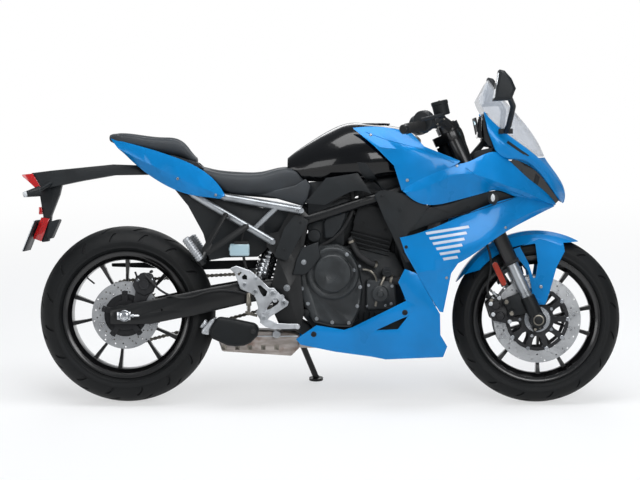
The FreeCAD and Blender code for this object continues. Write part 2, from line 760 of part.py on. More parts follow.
def chain():
    """The drive chain of waisted link plates. Returns the driving sprocket on its shaft."""
    line, half, wall = size("chain_offset"), size("chain_width") / 2, size("chain_plate")
    rise, waist = size("chain_height") / 2, size("chain_waist") / 2
    front = Vector(-size("output_shaft_rear"), 0, size("output_shaft_height"))
    small, large = pitch_radius("front_sprocket_radius"), pitch_radius("rear_sprocket_radius")
    span = front - REAR_AXLE
    tilt = math.asin((large - small) / span.Length)
    upper = math.atan2(span.z, span.x) + math.pi / 2 - tilt
    lower = upper + 2 * tilt - math.pi
    straight = span.Length * math.cos(tilt)
    front_arc, rear_arc = small * (math.pi - 2 * tilt), large * (math.pi + 2 * tilt)

    def outward(turn):
        """The direction away from the chain's inside."""
        return Vector(math.cos(turn), 0, math.sin(turn))

    def place(way):
        """The pitch line's point and outward direction after a length of chain."""
        if way < straight:
            return REAR_AXLE + outward(upper) * large + tangent(upper) * way, outward(upper)
        way -= straight
        if way < front_arc:
            turn = upper - way / small
            return front + outward(turn) * small, outward(turn)
        way -= front_arc
        if way < straight:
            return front + outward(lower) * small + tangent(lower) * way, outward(lower)
        turn = lower - (way - straight) / large
        return REAR_AXLE + outward(turn) * large, outward(turn)

    def tangent(turn):
        """The direction that the chain runs in where it faces outwards at an angle."""
        return Vector(math.sin(turn), 0, -math.cos(turn))

    total = 2 * straight + front_arc + rear_arc
    links = 2 * round(total / size("chain_pitch") / 2)
    outer, inner = [], []
    for i in range(links):
        for share, high in ((0.0, rise), (0.5, waist)):
            point, away = place((i + share) * total / links)
            outer.append(point + away * high)
            inner.append(point - away * high)
    layers = []
    for start in (line - half, line + half - wall):
        rings = [Part.Face(Part.makePolygon(ring + ring[:1])) for ring in (outer, inner)]
        plates = [ring.translated(Vector(0, start, 0)).extrude(Vector(0, wall, 0)) for ring in rings]
        layers.append(plates[0].cut(plates[1]))

    def band(grow):
        """A solid within the pitch line, grown by a distance."""
        points = []
        for centre, radius in ((REAR_AXLE, large + grow), (front, small + grow)):
            points += [centre + outward(upper) * radius, centre + outward(lower) * radius]
        rear_top, rear_low, front_top, front_low = [point + Vector(0, line - half + wall,
                                                                   0) for point in points]
        ahead = outward((upper + lower) / 2)
        nose = front + ahead * (small + grow) + Vector(0, line - half + wall, 0)
        heel = REAR_AXLE - ahead * (large + grow) + Vector(0, line - half + wall, 0)
        edges = [Part.makeLine(rear_top, front_top), Part.Arc(front_top, nose, front_low).toShape(),
                 Part.makeLine(front_low, rear_low), Part.Arc(rear_low, heel, rear_top).toShape()]
        return Part.Face(Part.Wire(edges)).extrude(Vector(0, 2 * (half - wall), 0))

    tooth_top = size("tooth_height") - size("chain_seat") - rise
    rollers = band(waist).cut(band(tooth_top + 0.6))
    solid("drive_chain", fused(rollers, *layers))
    half_tooth = size("tooth_thickness") / 2
    teeth = toothed_plate(front, size("front_sprocket_radius"), line - half_tooth, line + half_tooth)
    return fused(teeth, across(16, front.x, front.z, size("crankcase_half_width") - 6, line + 10))


def engine(sprocket):
    """The twin-cylinder engine, from its crankcase to its exhaust."""
    half, mount, front = size("crankcase_half_width"), size("plate_inner"), size("crankcase_front")
    case = plate([
        (-112, 500), (-116, 330), (-60, 262), (60, 252), (160, 262), (front - 32, 312), (front, 372), (front,
                                                                                                       470),
        (front - 36, 536), (60, 562), (-60, 548),
    ], -half, half, 14)
    bosses = [rod(Vector(front - 10, 0, 338), Vector(front + 42, 0, 350), 24)]
    for x, z in ((-98, 505), (-92, 324)):
        for side in (-1, 1):
            bosses.append(across(13, x, z, *sorted((side * (half - 10), side * mount))))
    solid("crankcase", fused(case, sprocket, *bosses))
    side = size("cylinder_half_width")
    barrels = plate([(58, 556), (196, 524), (222, 606), (84, 652)], -side + 7, side - 7, 6)
    head = plate([(76, 640), (218, 598), (246, 676), (100, 718)], -side, side, 6)
    cover = plate([(92, 704), (244, 664), (258, 730), (120, 770), (96, 744)], -side + 8, side - 8, 8)
    solid("cylinders", fused(barrels, head, cover).cut(shape_of("crankcase")))

    x, z, radius = CLUTCH.x, CLUTCH.z, size("clutch_radius")
    face, dome = -half - size("cover_stand_out"), -half - size("clutch_stand_out")
    flange = [(-122, 50), (-122, -60), (-102, -115), (-68, -173), (-4, -189), (66, -191), (98, -125),
              (108, -53),
              (94, 15), (68, 80), (16, 105), (-64, 95)]
    bolts = [(-57, -161), (-2, -174), (57, -176), (87, -116), (97, -49), (77, 12), (50, 67)]
    lid = radius - 27
    clutch = fused(
        bevelled(plate([(x + a, z + b) for a, b in flange], face, -half, 12), 6, face),
        drum(radius, x, z, face + 1, dome + 14, 6), drum(lid, x, z, dome + 15, dome, 5),
        across(10, x - 21, z + radius - 8, dome + 22, face), *[drum(7.5, x + a, z + b, face + 1, face - 4,
                                                                    1.5) for a, b in bolts],
    )
    groove = across(radius - 15, x, z, dome, dome + 18).cut(across(lid, x, z, dome - 1, dome + 19))
    hollow = across(25, x, z, dome - 1, dome + 3)
    clutch = clutch.cut([groove, hollow, shape_of("crankcase")])
    pump_face = -half - 18
    pump = fused(
        bevelled(plate([(122, 446), (226, 440), (230, 340), (122, 334)], pump_face, -half, 12), 5, pump_face),
        drum(30, 172, 392, pump_face + 1, pump_face - 20, 4), drum(12, 172, 392, pump_face - 19,
                                                                   pump_face - 26, 2),
    ).cut([shape_of("crankcase"), clutch])
    solid("clutch_cover", Part.makeCompound([largest(clutch), largest(pump)]))
    alternator = fused(
        drum(size("alternator_radius"), 70, 420, half, half + 46, 8), drum(52, 70, 420, half + 45, half + 58,
                                                                           4),
        plate([(-18, 470), (20, 500), (120, 500), (160, 440), (150, 350), (60, 320), (-10, 350)], half,
              half + 18, 16))
    shell = plate([(-126, 494), (-56, 500), (-2, 464), (-2, 378), (-50, 342), (-126, 328)], half, 120, 14)
    hollow = plate([(-150, 486), (-60, 488), (-12, 452), (-12, 388), (-58, 354), (-150, 332)], half - 1, 115,
                   10)
    shell = shell.cut([hollow, shape_of("main_frame"), alternator, shape_of("crankcase")])
    solid("left_covers", Part.makeCompound([alternator, largest(shell)]))
    exhaust()

    core = plate([(352, 452), (392, 742), (360, 746), (320, 456)], -150, 150, 3)
    parts = [core]
    for hand in (-1, 1):
        low, high = sorted((hand * 134, hand * 152))
        parts.append(plate([(356, 448), (397, 742), (356, 748), (315, 454)], low, high, 6))
        parts.append(rod(Vector(372, hand * 112, 736), Vector(312, hand * 112, 774), 6))
    solid("radiator", fused(*parts).cut([shape_of("main_frame"), shape_of("exhaust_pipes")]))


def exhaust():
    """The header pipes, the collector box and the muffler."""
    radius = size("pipe_radius")
    pipes = []
    for y in (-46, 46):
        path = [Vector(236, y, 650), Vector(296, y, 640), Vector(302, y, 560), Vector(292, y, 330),
                Vector(262, y, 222),
                Vector(140, y * 0.9, 212), Vector(-128, y * 0.72, 214)]
        pipe = tube_along(path, radius, 60).cut([shape_of("cylinders"), shape_of("crankcase")])
        pipes.append(largest(pipe))
    solid("exhaust_pipes", Part.makeCompound(pipes))
    box = [(-404, 222), (-391, 184), (-144, 168), (-116, 196), (-116, 246), (-150, 256), (-330, 262)]
    chamber = bevelled(plate(box, -70, 70, 9), 6, -70, 70)
    link = plate([(-392, 250), (-340, 212), (-300, 214), (-300, 256)], -118, -60, 6)
    solid("exhaust_chamber", fused(chamber, link).cut(shape_of("exhaust_pipes")))
    can = [(-404, 314), (-352, 306), (-262, 288), (-256, 266), (-262, 244), (-284, 222), (-306, 211),
           (-364, 210),
           (-424, 236), (-460, 256), (-456, 272), (-430, 300)]
    near, far = -size("muffler_inner"), -size("muffler_outer")
    outlet, out = Vector(-436, (near + far) / 2, 276), Vector(-0.72, 0, 0.5).normalize()
    muffler = fused(bevelled(plate(can, far, near), 9, far, near), rod(outlet, outlet + out * 30, 17))
    muffler = muffler.cut(rod(outlet + out * 8, outlet + out * 31, 14))
    solid("muffler", muffler.cut(shape_of("exhaust_chamber")))


def air_box():
    """The air box between the tank and the engine, with the throttle bodies' housings at its side."""
    half = size("air_box_half_width")
    box = plate([(-84, 600), (-84, 788), (60, 794), (240, 806), (298, 786), (262, 738), (84, 738), (44, 640),
                 (44, 560), (-50, 552)], -half, half, 12)
    side = bevelled(plate([(-7, 702), (20, 706), (54, 687), (50, 662), (34, 624), (7, 591), (-24, 587),
                           (-29, 641)],
                          -half - 28, -half, 8), 4, -half - 28)
    box = fused(box, side, drum(24, -62, 598, -half, -half - 28, 3))
    around = ("crankcase", "cylinders", "fuel_tank", "rider_seat", "main_frame", "subframe", "radiator",
              "clutch_cover")
    solid("air_box", largest(box.cut([shape_of(label) for label in around])))


def bodywork():
    """The tank, seats and every panel."""
    wall = size("panel_wall")
    tank_half = size("tank_half_width")
    rows = [(-158, 872, 812, 58), (-110, 908, 800, 82), (-40, 952, 798, 118), (57, 994, 800, tank_half - 4),
            (150, 992, 806, tank_half), (240, 980, 815, tank_half - 20), (318, 938, 822, tank_half - 50)]
    sections = []
    for x, top, low, wide in rows:
        span = top - low
        sections.append(closed_section(x, [(0, top), (wide * 0.55, top - span * 0.06),
                                           (wide * 0.92, top - span * 0.38),
                                           (wide, low + span * 0.25), (wide * 0.86, low), (0, low)]))
    tank = loft(sections)
    cap_x, cap_z = 150, 992
    tank = tank.fuse(across_up(56, cap_x, 950, cap_z)).cut(across_up(66, cap_x, cap_z, 1100))
    tank = tank.cut(across_up(30, cap_x, cap_z - 34, cap_z + 5))
    tank = tank.cut(shape_of("main_frame"))
    solid("fuel_tank", largest(tank))
    lid = fused(across_up(50, cap_x, cap_z + GAP, cap_z + 6),
                plate([(cap_x + 46, cap_z + GAP), (cap_x + 58, cap_z + GAP), (cap_x + 58, cap_z + 6),
                       (cap_x + 46, cap_z + 6)], -9, 9))
    solid("fuel_cap", lid)

    seat_half = size("seat_half_width")
    rows = [(-470, 846, 822, 62), (-440, 834, 796, 98), (-400, 823, 768, 118), (-330, 816, 750, seat_half),
            (-250, 819, 742, seat_half - 8), (-180, 838, 734, 100), (-120, 830, 738, 84), (-90, 806, 748, 70)]
    sections = [closed_section(x, [(0, top), (wide * 0.6, top - 2), (wide * 0.95, top - 12),
                                   (wide, (top + low) / 2),
                                   (wide * 0.85, low), (0, low)]) for x, top, low, wide in rows]
    seat = loft(sections).cut([shape_of("fuel_tank"), shape_of("subframe"), shape_of("main_frame")])
    solid("rider_seat", largest(seat))
    rows = [(-795, 958, 938, 46), (-760, 960, 924, 64), (-680, 950, 906, 80), (-600, 942, 892, 88),
            (-548, 935, 884, 84), (-505, 896, 864, 70), (-482, 876, 858, 50)]
    sections = [closed_section(x, [(0, top), (wide * 0.6, top - 2), (wide * 0.95, top - 8),
                                   (wide, (top + low) / 2),
                                   (wide * 0.85, low), (0, low)]) for x, top, low, wide in rows]
    passenger_seat = loft(sections).cut([shape_of("subframe")])

    def panel(label, curves, push, trim=None):
        """A panel from the right side's curves; with a label it is added with its mirror image."""
        shape = skin([[Vector(*p) for p in row] for row in curves], Vector(*push))
        if trim:
            shape = shape.common(plate(trim, -400, 0))
        shape = largest(shape)
        return solid(label, both_sides(shape)) if label else shape

    panel("tail_cowl", [
        [(-790, -50, 944), (-680, -84, 915), (-573, -102, 882), (-478, -112, 842), (-377, -126, 742)],
        [(-762, -66, 908), (-670, -94, 862), (-560, -114, 812), (-470, -126, 772), (-380, -132, 738)],
        [(-735, -52, 884), (-616, -84, 791), (-497, -108, 742), (-440, -120, 734), (-394, -128, 729)],
    ], (0, wall, 0))
    cowl = min(shape_of("tail_cowl").Solids, key=lambda part: part.CenterOfMass.y)
    cowl = cowl.fuse(across(6, -545, 800, -116, -74)).cut(shape_of("subframe"))
    pieces["tail_cowl"].Shape = both_sides(largest(cowl))
    passenger_seat = passenger_seat.cut(shape_of("tail_cowl"))
    solid("passenger_seat", largest(passenger_seat))
    panel("tank_covers", [
        [(74, -tank_half + 30, 979), (192, -tank_half + 24, 981), (284, -tank_half + 24, 960)],
        [(150, -166, 915), (240, -182, 905), (326, -176, 913)],
        [(219, -180, 846), (330, -188, 862), (452, -182, 862)],
        [(246, -186, 758), (300, -190, 782), (448, -184, 856)],
    ], (0, wall, 0))
    panel("upper_fairings", [
        [(250, -188, 756), (442, -180, 851), (476, -176, 858), (580, -150, 893), (626, -138, 864),
         (701, -110, 797),
         (756, -74, 756), (798, -42, 712)],
        [(258, -194, 750), (360, -205, 783), (466, -206, 817), (592, -186, 784), (690, -136, 750),
         (762, -82, 717),
         (800, -40, 708)],
        [(262, -188, 746), (341, -188, 708), (450, -184, 727), (535, -172, 750), (580, -160, 759),
         (645, -138, 737),
         (720, -92, 718), (796, -38, 705)],
    ], (0, wall, 0))
    covers = shape_of("tank_covers").cut([shape_of("upper_fairings"), shape_of("fuel_tank")])
    pieces["tank_covers"].Shape = Part.makeCompound(sorted(covers.Solids, key=lambda part: -part.Volume)[:2])
    solid("lower_fairings", lower_fairing(wall))
    panel("belly_cowls", [
        [(-145, -176, 498), (100, -190, 498), (425, -190, 498)],
        [(-145, -164, 350), (100, -182, 350), (425, -176, 350)],
        [(-145, -146, 240), (100, -164, 240), (425, -156, 240)],
        [(-145, -112, 150), (100, -124, 150), (425, -112, 150)],
    ], (0, wall, 0), [
        (-126, 233), (-53, 283), (45, 267), (77, 278), (262, 371), (242, 420), (234, 436), (257, 483), (298,
                                                                                                        468),
        (382, 323), (384, 249), (409, 207), (395, 168), (192, 160), (142, 170), (12, 188), (-110, 213)])
    belly = shape_of("belly_cowls").Solids[0]
    if belly.CenterOfMass.y > 0:
        belly = mirrored(belly)
    slot = plate([(157, 266), (250, 309), (268, 315), (233, 270)], -300, -100)
    belly = belly.cut([shape_of("lower_fairings"), slot])
    bosses = [across(7, 20, 262, -156, -91.7), across(7, 166, 300, -168, -91.7)]
    belly = fused(largest(belly), *bosses).cut(shape_of("crankcase"))
    pieces["belly_cowls"].Shape = both_sides(largest(belly))
    inner_panel = panel("", [
        [(96, -150, 856), (240, -172, 760), (345, -176, 704)],
        [(150, -156, 745), (250, -176, 700), (345, -176, 700)],
        [(186, -160, 658), (230, -176, 630), (270, -178, 604)],
        [(262, -166, 505), (290, -176, 500), (298, -178, 470)],
    ], (0, wall, 0), [
        (97, 855), (150, 744), (179, 762), (250, 748), (345, 703), (266, 604), (250, 540), (286, 514), (298,
                                                                                                        470),
        (261, 505), (212, 584), (184, 658), (130, 760)])
    inlet_panel = panel("", [
        [(255, -176, 606), (350, -170, 640), (450, -164, 672), (640, -126, 730)],
        [(345, -176, 700), (450, -172, 722), (580, -150, 754), (645, -126, 734)],
    ], (0, wall, 0))
    inlet_panel = inlet_panel.cut(inner_panel)
    solid("inner_panels", Part.makeCompound([both_sides(inner_panel), both_sides(inlet_panel)]))
    side_cover = panel("", [
        [(-96, -142, 716), (-20, -150, 802), (91, -150, 822)],
        [(-92, -142, 712), (-24, -146, 706), (30, -150, 735), (142, -154, 744)],
    ], (0, wall, 0), [(-20, 802), (91, 820), (153, 760), (142, 742), (29, 735), (-24, 707), (-94, 714)])
    cover = plate([(-128, 674), (-78, 653), (-157, 510), (-204, 525), (-166, 627)], -155, -149, 10)
    cover = cover.fuse(across(8, -150, 596, -152, -138))
    side_cover = side_cover.fuse(across(7, 44, 800, -151, -105)).cut(shape_of("fuel_tank"))
    side_cover = largest(side_cover)
    guard = [(-103, 557), (-47, 576), (-39, 523), (-71, 480), (-95, 461), (-137, 461), (-123, 517)]
    side_plate = fused(bevelled(plate(guard, -150, -141), 2, -150), across(8, -120, 488, -142, -138),
                       across(8, -104, 548, -142, -138))
    side_plate = largest(side_plate.cut([shape_of("clutch_cover"), shape_of("main_frame"), cover]))
    solid("frame_covers", Part.makeCompound([both_sides(cover), both_sides(side_cover), side_plate]))

    nose = skin([[Vector(*p) for p in row] for row in [
        [(578, -154, 902), (623, -146, 872), (657, -136, 871), (749, -94, 809), (812, -46, 728),
         (828, -6, 717)],
        [(552, -158, 965), (640, -146, 905), (730, -110, 852), (802, -56, 768), (832, -6, 722)],
        [(537, -150, 1036), (625, -126, 954), (734, -84, 874), (800, -40, 802), (832, -6, 745)],
    ]], Vector(-2, wall, -2))
    patch = skin([[Vector(*p) for p in row] for row in [
        [(733, -84, 874), (800, -40, 802), (832, -6, 745), (829, -3, 718)],
        [(763, 0, 876), (808, 0, 812), (836, 0, 746), (832, 0, 716)],
    ]], Vector(-wall, 0, -wall))
    half_nose = nose.fuse(patch)
    whole = fused(half_nose, mirrored(half_nose))
    solid("nose_cowl", largest(whole.cut(shape_of("upper_fairings"))))
    screen_wall = size("screen_wall")
    screen = skin([[Vector(*p) for p in row] for row in [
        [(521, -136, 1078), (537, -146, 1041), (627, -122, 959), (735, -80, 879)],
        [(550, -76, 1136), (632, -70, 1036), (730, -48, 913), (754, -38, 878)],
        [(562, 0, 1153), (657, 0, 1038), (743, 0, 922), (763, 0, 878)],
    ]], Vector(-screen_wall * 0.7, 0, screen_wall * 0.2))
    screen = screen.fuse(mirrored(screen)).removeSplitter().cut(shape_of("nose_cowl"))
    solid("windscreen", largest(screen))
    panel("headlamps", [
        [(640, -136, 868), (682, -122, 854), (749, -88, 802), (810, -40, 722)],
        [(628, -134, 858), (701, -104, 792), (756, -70, 752), (800, -36, 712)],
    ], (-8, 3, -6))
    lamps = shape_of("headlamps").cut([shape_of("upper_fairings"), shape_of("nose_cowl")])
    pieces["headlamps"].Shape = Part.makeCompound(sorted(lamps.Solids, key=lambda part: -part.Volume)[:2])
    core = (plate([(690, 740), (700, 800), (752, 800), (784, 745), (780, 712)], -40, 40, 8))
    stay = fused(
        plate([(466, 852), (486, 846), (552, 925), (560, 1010), (548, 1014), (536, 935)], -40, 40, 4),
        plate([(541, 1033), (552, 1033), (566, 915), (541, 935)], -104, 104, 3),
        core, plate([(546, 926), (562, 930), (722, 786), (722, 766)], -12, 12),
        plate([(640, 812), (664, 812), (664, 796), (640, 796)], -156, 156),
    ).cut([shape_of("main_frame"), shape_of("upper_fairings"), shape_of("headlamps"), shape_of("nose_cowl")])
    solid("instrument_stay", largest(stay))
    solid("instrument_panel", plate([(523, 1015), (541, 1022), (540.6, 940), (518, 948)], -85, 85, 5).cut(
        shape_of("instrument_stay")))


def lower_fairing(wall):
    """The side fairing below the inlet, with its narrow lower end."""
    upper = skin([[Vector(*p) for p in row] for row in [
        [(240, -186, 593), (450, -186, 666), (644, -142, 733), (795, -40, 703)],
        [(258, -188, 541), (447, -198, 560), (620, -166, 640), (793, -42, 701)],
        [(298, -190, 471), (444, -198, 503), (594, -172, 601), (695, -112, 655), (792, -42, 700)],
    ]], Vector(0, wall, 0))
    lower = skin([[Vector(*p) for p in row] for row in [
        [(298, -190, 471), (375, -196, 486), (444, -198, 503)],
        [(304, -189, 458), (365, -193, 464), (420, -195, 468)],
        [(380, -176, 332), (386, -176, 331), (393, -176, 330)],
    ]], Vector(0, wall, 0))
    boss = across(7, 350, 596, -190, -152.3)
    shape = fused(upper, lower, boss).cut(shape_of("upper_fairings"))
    return both_sides(largest(shape))


def across_up(radius, x, z_from, z_to):
    """An upright round bar on the bike's centre plane."""
    return Part.makeCylinder(radius, z_to - z_from, Vector(x, 0, z_from), Z_AXIS)


def tail():
    """The tail boom with its lamps and the number plate's holder."""
    rows = [(-632, 846, 814, 46), (-780, 851, 812, 56), (-900, 838, 791, 60), (-1000, 829, 770, 61),
            (-1072, 820, 758, 61)]
    rings = []
    for x, top, low, wide in rows:
        corners = [Vector(x, -wide, low), Vector(x, -wide * 0.8, top), Vector(x, wide * 0.8, top),
                   Vector(x, wide, low)]
        rings.append(Part.makePolygon(corners + corners[:1]))
    boom = Part.makeLoft(rings, True, True)
    boom = boom.cut(plate([(-1120, 818), (-1068, 816), (-1034, 760), (-1036, 740), (-1120, 740)], -80, 80))
    boom = boom.cut([shape_of("subframe"), shape_of("passenger_seat"), shape_of("tail_cowl")])
    boom = largest(boom)
    solid("tail_boom", boom)
    lamp = plate([(-1108, 814), (-1067, 818), (-1033, 760), (-1044, 754)], -60, 60, 2).cut(boom)
    solid("tail_lamp", largest(lamp))
    signals = []
    for side in (-1, 1):
        root = Vector(-1000, side * 50, 785)
        tip = Vector(-1050, side * 108, 752)
        signals.append(fused(rod(root, tip, 8), Part.makeCone(19, 9, 62, tip + Vector(16, 0, 4),
                                                              Vector(-0.86, side * 0.3, -0.2))))
    solid("rear_signals", Part.makeCompound([s.cut(boom) for s in signals]))
    holder = fused(
        plate([(-1048, 752), (-1040, 762), (-968, 780), (-977, 742), (-1006, 668), (-1016, 575),
               (-1040, 572), (-1034, 664)], -24, 24, 4),
        plate([(-1056, 650), (-1050, 651), (-1094, 541), (-1100, 541)], -88, 88, 1),
        plate([(-1058, 640), (-1028, 640), (-1034, 592), (-1078, 592)], -20, 20, 2),
        plate([(-972, 657), (-1012, 645), (-1020, 590), (-1004, 584)], -40, 40, 5),
    ).cut([boom, shape_of("tail_lamp")])
    solid("plate_holder", largest(holder))
    plate_face = plate([(-1059, 652), (-1056.3, 651), (-1100.3, 541), (-1103, 542)], -90, 90)
    solid("number_plate", plate_face.cut(shape_of("plate_holder")))
    box = plate([(-596, 808), (-511, 704), (-457, 605), (-448, 573), (-435, 509), (-380, 519), (-262, 522),
                 (-232, 548),
                 (-236, 690), (-330, 716), (-400, 760), (-480, 808)], -84, 84, 12)
    box = box.cut([shape_of(label) for label in ("subframe", "rider_seat", "passenger_seat",
                                                 "shock_absorber", "main_frame")])
    solid("undertray", largest(box))


def foot_controls():
    """The rider's and passenger's foot rests with their hangers."""
    outer = size("plate_inner") + size("plate_thickness")
    near, far = 157, 168
    hanger = [(-359, 483), (-336, 493), (-316, 486), (-285, 476), (-255, 450), (-220, 415), (-204, 415),
              (-190, 401),
              (-167, 379), (-151, 365), (-155, 353), (-181, 335), (-217, 313), (-230, 300), (-250,
                                                                                             300), (-267,
                                                                                                    329),
              (-258, 344), (-267, 376), (-274, 389), (-303, 403), (-321, 412), (-332, 441), (-341, 466)]
    windows = [
        [(-332, 463), (-323, 474), (-316, 470), (-326, 456)],
        [(-316, 455), (-306, 464), (-298, 457), (-297, 444), (-314, 445)],
        [(-262, 423), (-251, 425), (-233, 410), (-226, 402), (-231, 386), (-240, 384), (-249, 396)],
        [(-201, 380), (-190, 376), (-185, 367), (-190, 358), (-217, 340), (-228, 338), (-226, 347)],
    ]
    bosses = [(-307, 427, 9), (-269, 402, 10), (-267, 448, 8), (-207, 396, 12), (-168, 362, 12),
              (-236, 312, 12)]
    right = bevelled(plate(hanger, -far, -near), 2, -far)
    right = right.cut([plate(window, -far - 1, -near + 1, 2) for window in windows])
    right = fused(right, *[drum(radius, x, z, -far + 1, -far - 3, 1.2) for x, z, radius in bosses])
    left = mirrored(right)
    mounts = [(-176, 382), (-200, 372)]
    pedal = [(-250, 306), (-228, 306), (-212, 302), (-190, 291), (-150, 289), (-118, 289), (-116, 280),
             (-122, 272),
             (-206, 270), (-232, 278), (-252, 294)]
    right = fused(
        right, *[across(9, x, z, -near - 1, -outer) for x, z in mounts], foot_peg(-232, 318, -1),
        bevelled(plate(pedal, -182, -174), 1.5, -182), drum(8.5, -119, 280, -175, -204, 2),
        across(13, -238, 300, -184, -far + 2),
    )
    lever = [(-190, 358), (-70, 353), (-66, 340), (-190, 345)]
    left = fused(
        left, *[across(9, x, z, outer, near + 1) for x, z in mounts], foot_peg(-226, 350, 1),
        plate(lever, 169, 175, 3), drum(8, -74, 346, 174, 205, 2), across(11, -184, 352, near, 177),
    )
    solid("foot_controls", Part.makeCompound([right, left]))

    y = size("subframe_spread") + 46
    hangers = []
    for side in (-1, 1):
        low, high = sorted((side * (y - 5), side * (y + 5)))
        hanger = plate([(-380, 680), (-364, 680), (-376, 655), (-432, 558), (-308, 640), (-292, 640),
                        (-292, 624),
                        (-434, 530), (-458, 534), (-456, 556)], low, high, 4)
        low, high = sorted((side * (y - 34), side * y))
        foot, tip = Vector(-456, side * (y + 14), 506), Vector(-514, side * (y + 26), 590)
        along = (tip - foot).normalize()
        ribs = [rod(foot + along * (14 + 9 * i), foot + along * (18.2 + 9 * i), 14.5) for i in range(10)]
        hanger = fused(
            hanger, across(7, -372, 670, low, high), across(7, -302, 631, low, high),
            rod(Vector(-447, side * (y - 2), 538), foot, 10), rod(foot - along * 10, tip, 11), *ribs,
        )
        hangers.append(largest(hanger.cut(shape_of("subframe"))))
    solid("passenger_rests", Part.makeCompound(hangers))


def front_end():
    """Everything that turns with the steering, drawn along the steering axis."""
    x, y = size("fork_offset"), size("fork_half_spacing")
    head_half, gap = size("head_tube_length") / 2, size("yoke_gap")
    thick, stem, outer = size("yoke_thickness"), size("stem_radius"), size("outer_tube_radius")
    outline_of_yoke = [
        Vector(-34, -30, 0), Vector(x - 16, -y - 34, 0), Vector(x + 22, -y - 30, 0), Vector(x + 20, 0, 0),
        Vector(x + 22, y + 30, 0), Vector(x - 16, y + 34, 0), Vector(-34, 30, 0),
    ]
    yokes = [Part.makeCylinder(stem, 2 * head_half + 2 * thick + 4,
                               Vector(0, 0, 2 - head_half - gap - thick))]
    for level in (head_half + gap, -head_half - gap - thick):
        face = Part.Face(rounded_wire([point + Z_AXIS * level for point in outline_of_yoke], 16))
        yokes.append(face.extrude(Z_AXIS * thick))
    legs = [Vector(x, -y, 0), Vector(x, y, 0)]
    fork_solid("yokes", fused(*yokes).cut([Part.makeCylinder(outer, 400,
                                                             leg - Z_AXIS * 200) for leg in legs]))
    fork_legs(legs)
    calipers(x)
    for side in (-1, 1):
        handlebar(side, x, y, head_half + thick + gap + 1)
    for label in ("handlebars", "grips", "bar_controls"):
        fork_solid(label, Part.makeCompound(bar_parts[label]))
    front_fender()


def fork_legs(legs):
    """The outer tubes that the yokes clamp, and the sliders with their feet."""
    outer, inner, reach = size("outer_tube_radius"), size("inner_tube_radius"), size("outer_tube_reach")
    tubes, sliders = [], []
    for leg in legs:
        side = math.copysign(1, leg.y)
        tube = Part.makeCylinder(outer, reach + 132, leg - Z_AXIS * reach)
        tubes.append(tube.cut(Part.makeCylinder(inner + RUN, 220, leg - Z_AXIS * (reach + 1))))
        foot = leg - Z_AXIS * LEG_REACH
        ears = [Vector(foot.x + a, side * 94.3, foot.z + b) for a, b in ((0, 40), (0, 108), (-84, 118), (-84,
                                                                                                         52))]
        slider = fused(
            Part.makeCylinder(inner, LEG_REACH - reach + 180, foot + Z_AXIS * 20),
            Part.makeCylinder(inner + 5, 100, foot - Z_AXIS * 12),
            Part.makeCylinder(27, 46, foot - Y_AXIS * 23, Y_AXIS),
            Part.Face(Part.makePolygon(ears + ears[:1])).extrude(Y_AXIS * side * 20),
        )
        axle = Part.makeCylinder(size("front_axle_radius"), 80, foot - Y_AXIS * 40, Y_AXIS)
        sliders.append(slider.cut(axle).removeSplitter())
    fork_solid("fork_tubes", Part.makeCompound(tubes))
    fork_solid("fork_sliders", Part.makeCompound(sliders))


def calipers(x):
    """The front calipers, each round its disc's rear edge."""
    offset, thick, radius = size("front_disc_offset"), size("disc_thickness"), size("front_disc_radius")
    foot = Vector(x, 0, -LEG_REACH)
    blocks = []
    for side in (-1, 1):
        corners = [foot + Vector(a, side * 46, b) for a, b in ((-90, 22), (-148, 66), (-140, 128),
                                                               (-84, 138), (-80, 60))]
        block = Part.Face(rounded_wire(corners, 10)).extrude(Y_AXIS * side * 48)
        for a, b in ((-116, 68), (-114, 110)):
            piston = foot + Vector(a, side * 93, b)
            block = block.fuse(Part.makeCone(17, 14, 6, piston, Y_AXIS * side))
        slot = Part.makeCylinder(radius + 5, thick + 10, foot + Y_AXIS * (side * offset - thick / 2 - 5),
                                 Y_AXIS)
        blocks.append(largest(block.cut(slot)))
    fork_solid("front_calipers", Part.makeCompound(blocks))


def handlebar(side, x, y, collar_height):
    """One clip-on bar with its grip, switch housing and lever."""
    bar, grip, grip_length = size("bar_radius"), size("grip_radius"), size("grip_length")
    outer = size("outer_tube_radius")
    leg = Vector(x, side * y, 0)
    start = Vector(x - 6, side * (y + 30), 124)
    bend = Vector(x - 18, side * (y + 72), 146)
    end = Vector(-118, side * size("bar_half_width"), 174)
    collar = Part.makeCylinder(outer + 10, 26, leg + Z_AXIS * collar_height)
    tube = tube_along([leg + Vector(0, side * 30, 116), start, bend, end], bar, 26)
    bar_parts["handlebars"].append(fused(collar, tube).cut(Part.makeCylinder(outer, 200, leg)))
    along = (end - bend).normalize()
    cover = rod(end - along * grip_length, end + along * 2, grip).cut(rod(bend, end, bar))
    bar_parts["grips"].append(cover)

    inboard = end - along * (grip_length + 1)
    raised = Z_AXIS * 14
    forward = Vector(1, 0, 0.12).normalize()
    root = inboard - along * 58
    path = [root, root + forward * 44, root + forward * 62 + along * 40, end + forward * 58 - along * 8]
    control = [
        rod(inboard - along * 40, inboard, 23), rod(inboard - along * 74, inboard - along * 44, 18),
        rod(inboard - along * 38 + raised, inboard - along * 4 + raised, 25),
        tube_along(path, 6.5, 16), rod(root + forward * 6, root + forward * 52, 12),
    ]
    if side < 0:
        pot = root + Vector(48, 12, 14)
        control.append(rod(pot, pot + Vector(0.2, 0, 1).normalize() * 42, 21))
        control.append(rod(root + forward * 40, pot + Vector(2, 0, 10), 9))
    bar_parts["bar_controls"].append(largest(fused(*control).cut([rod(bend, end, bar), cover])))


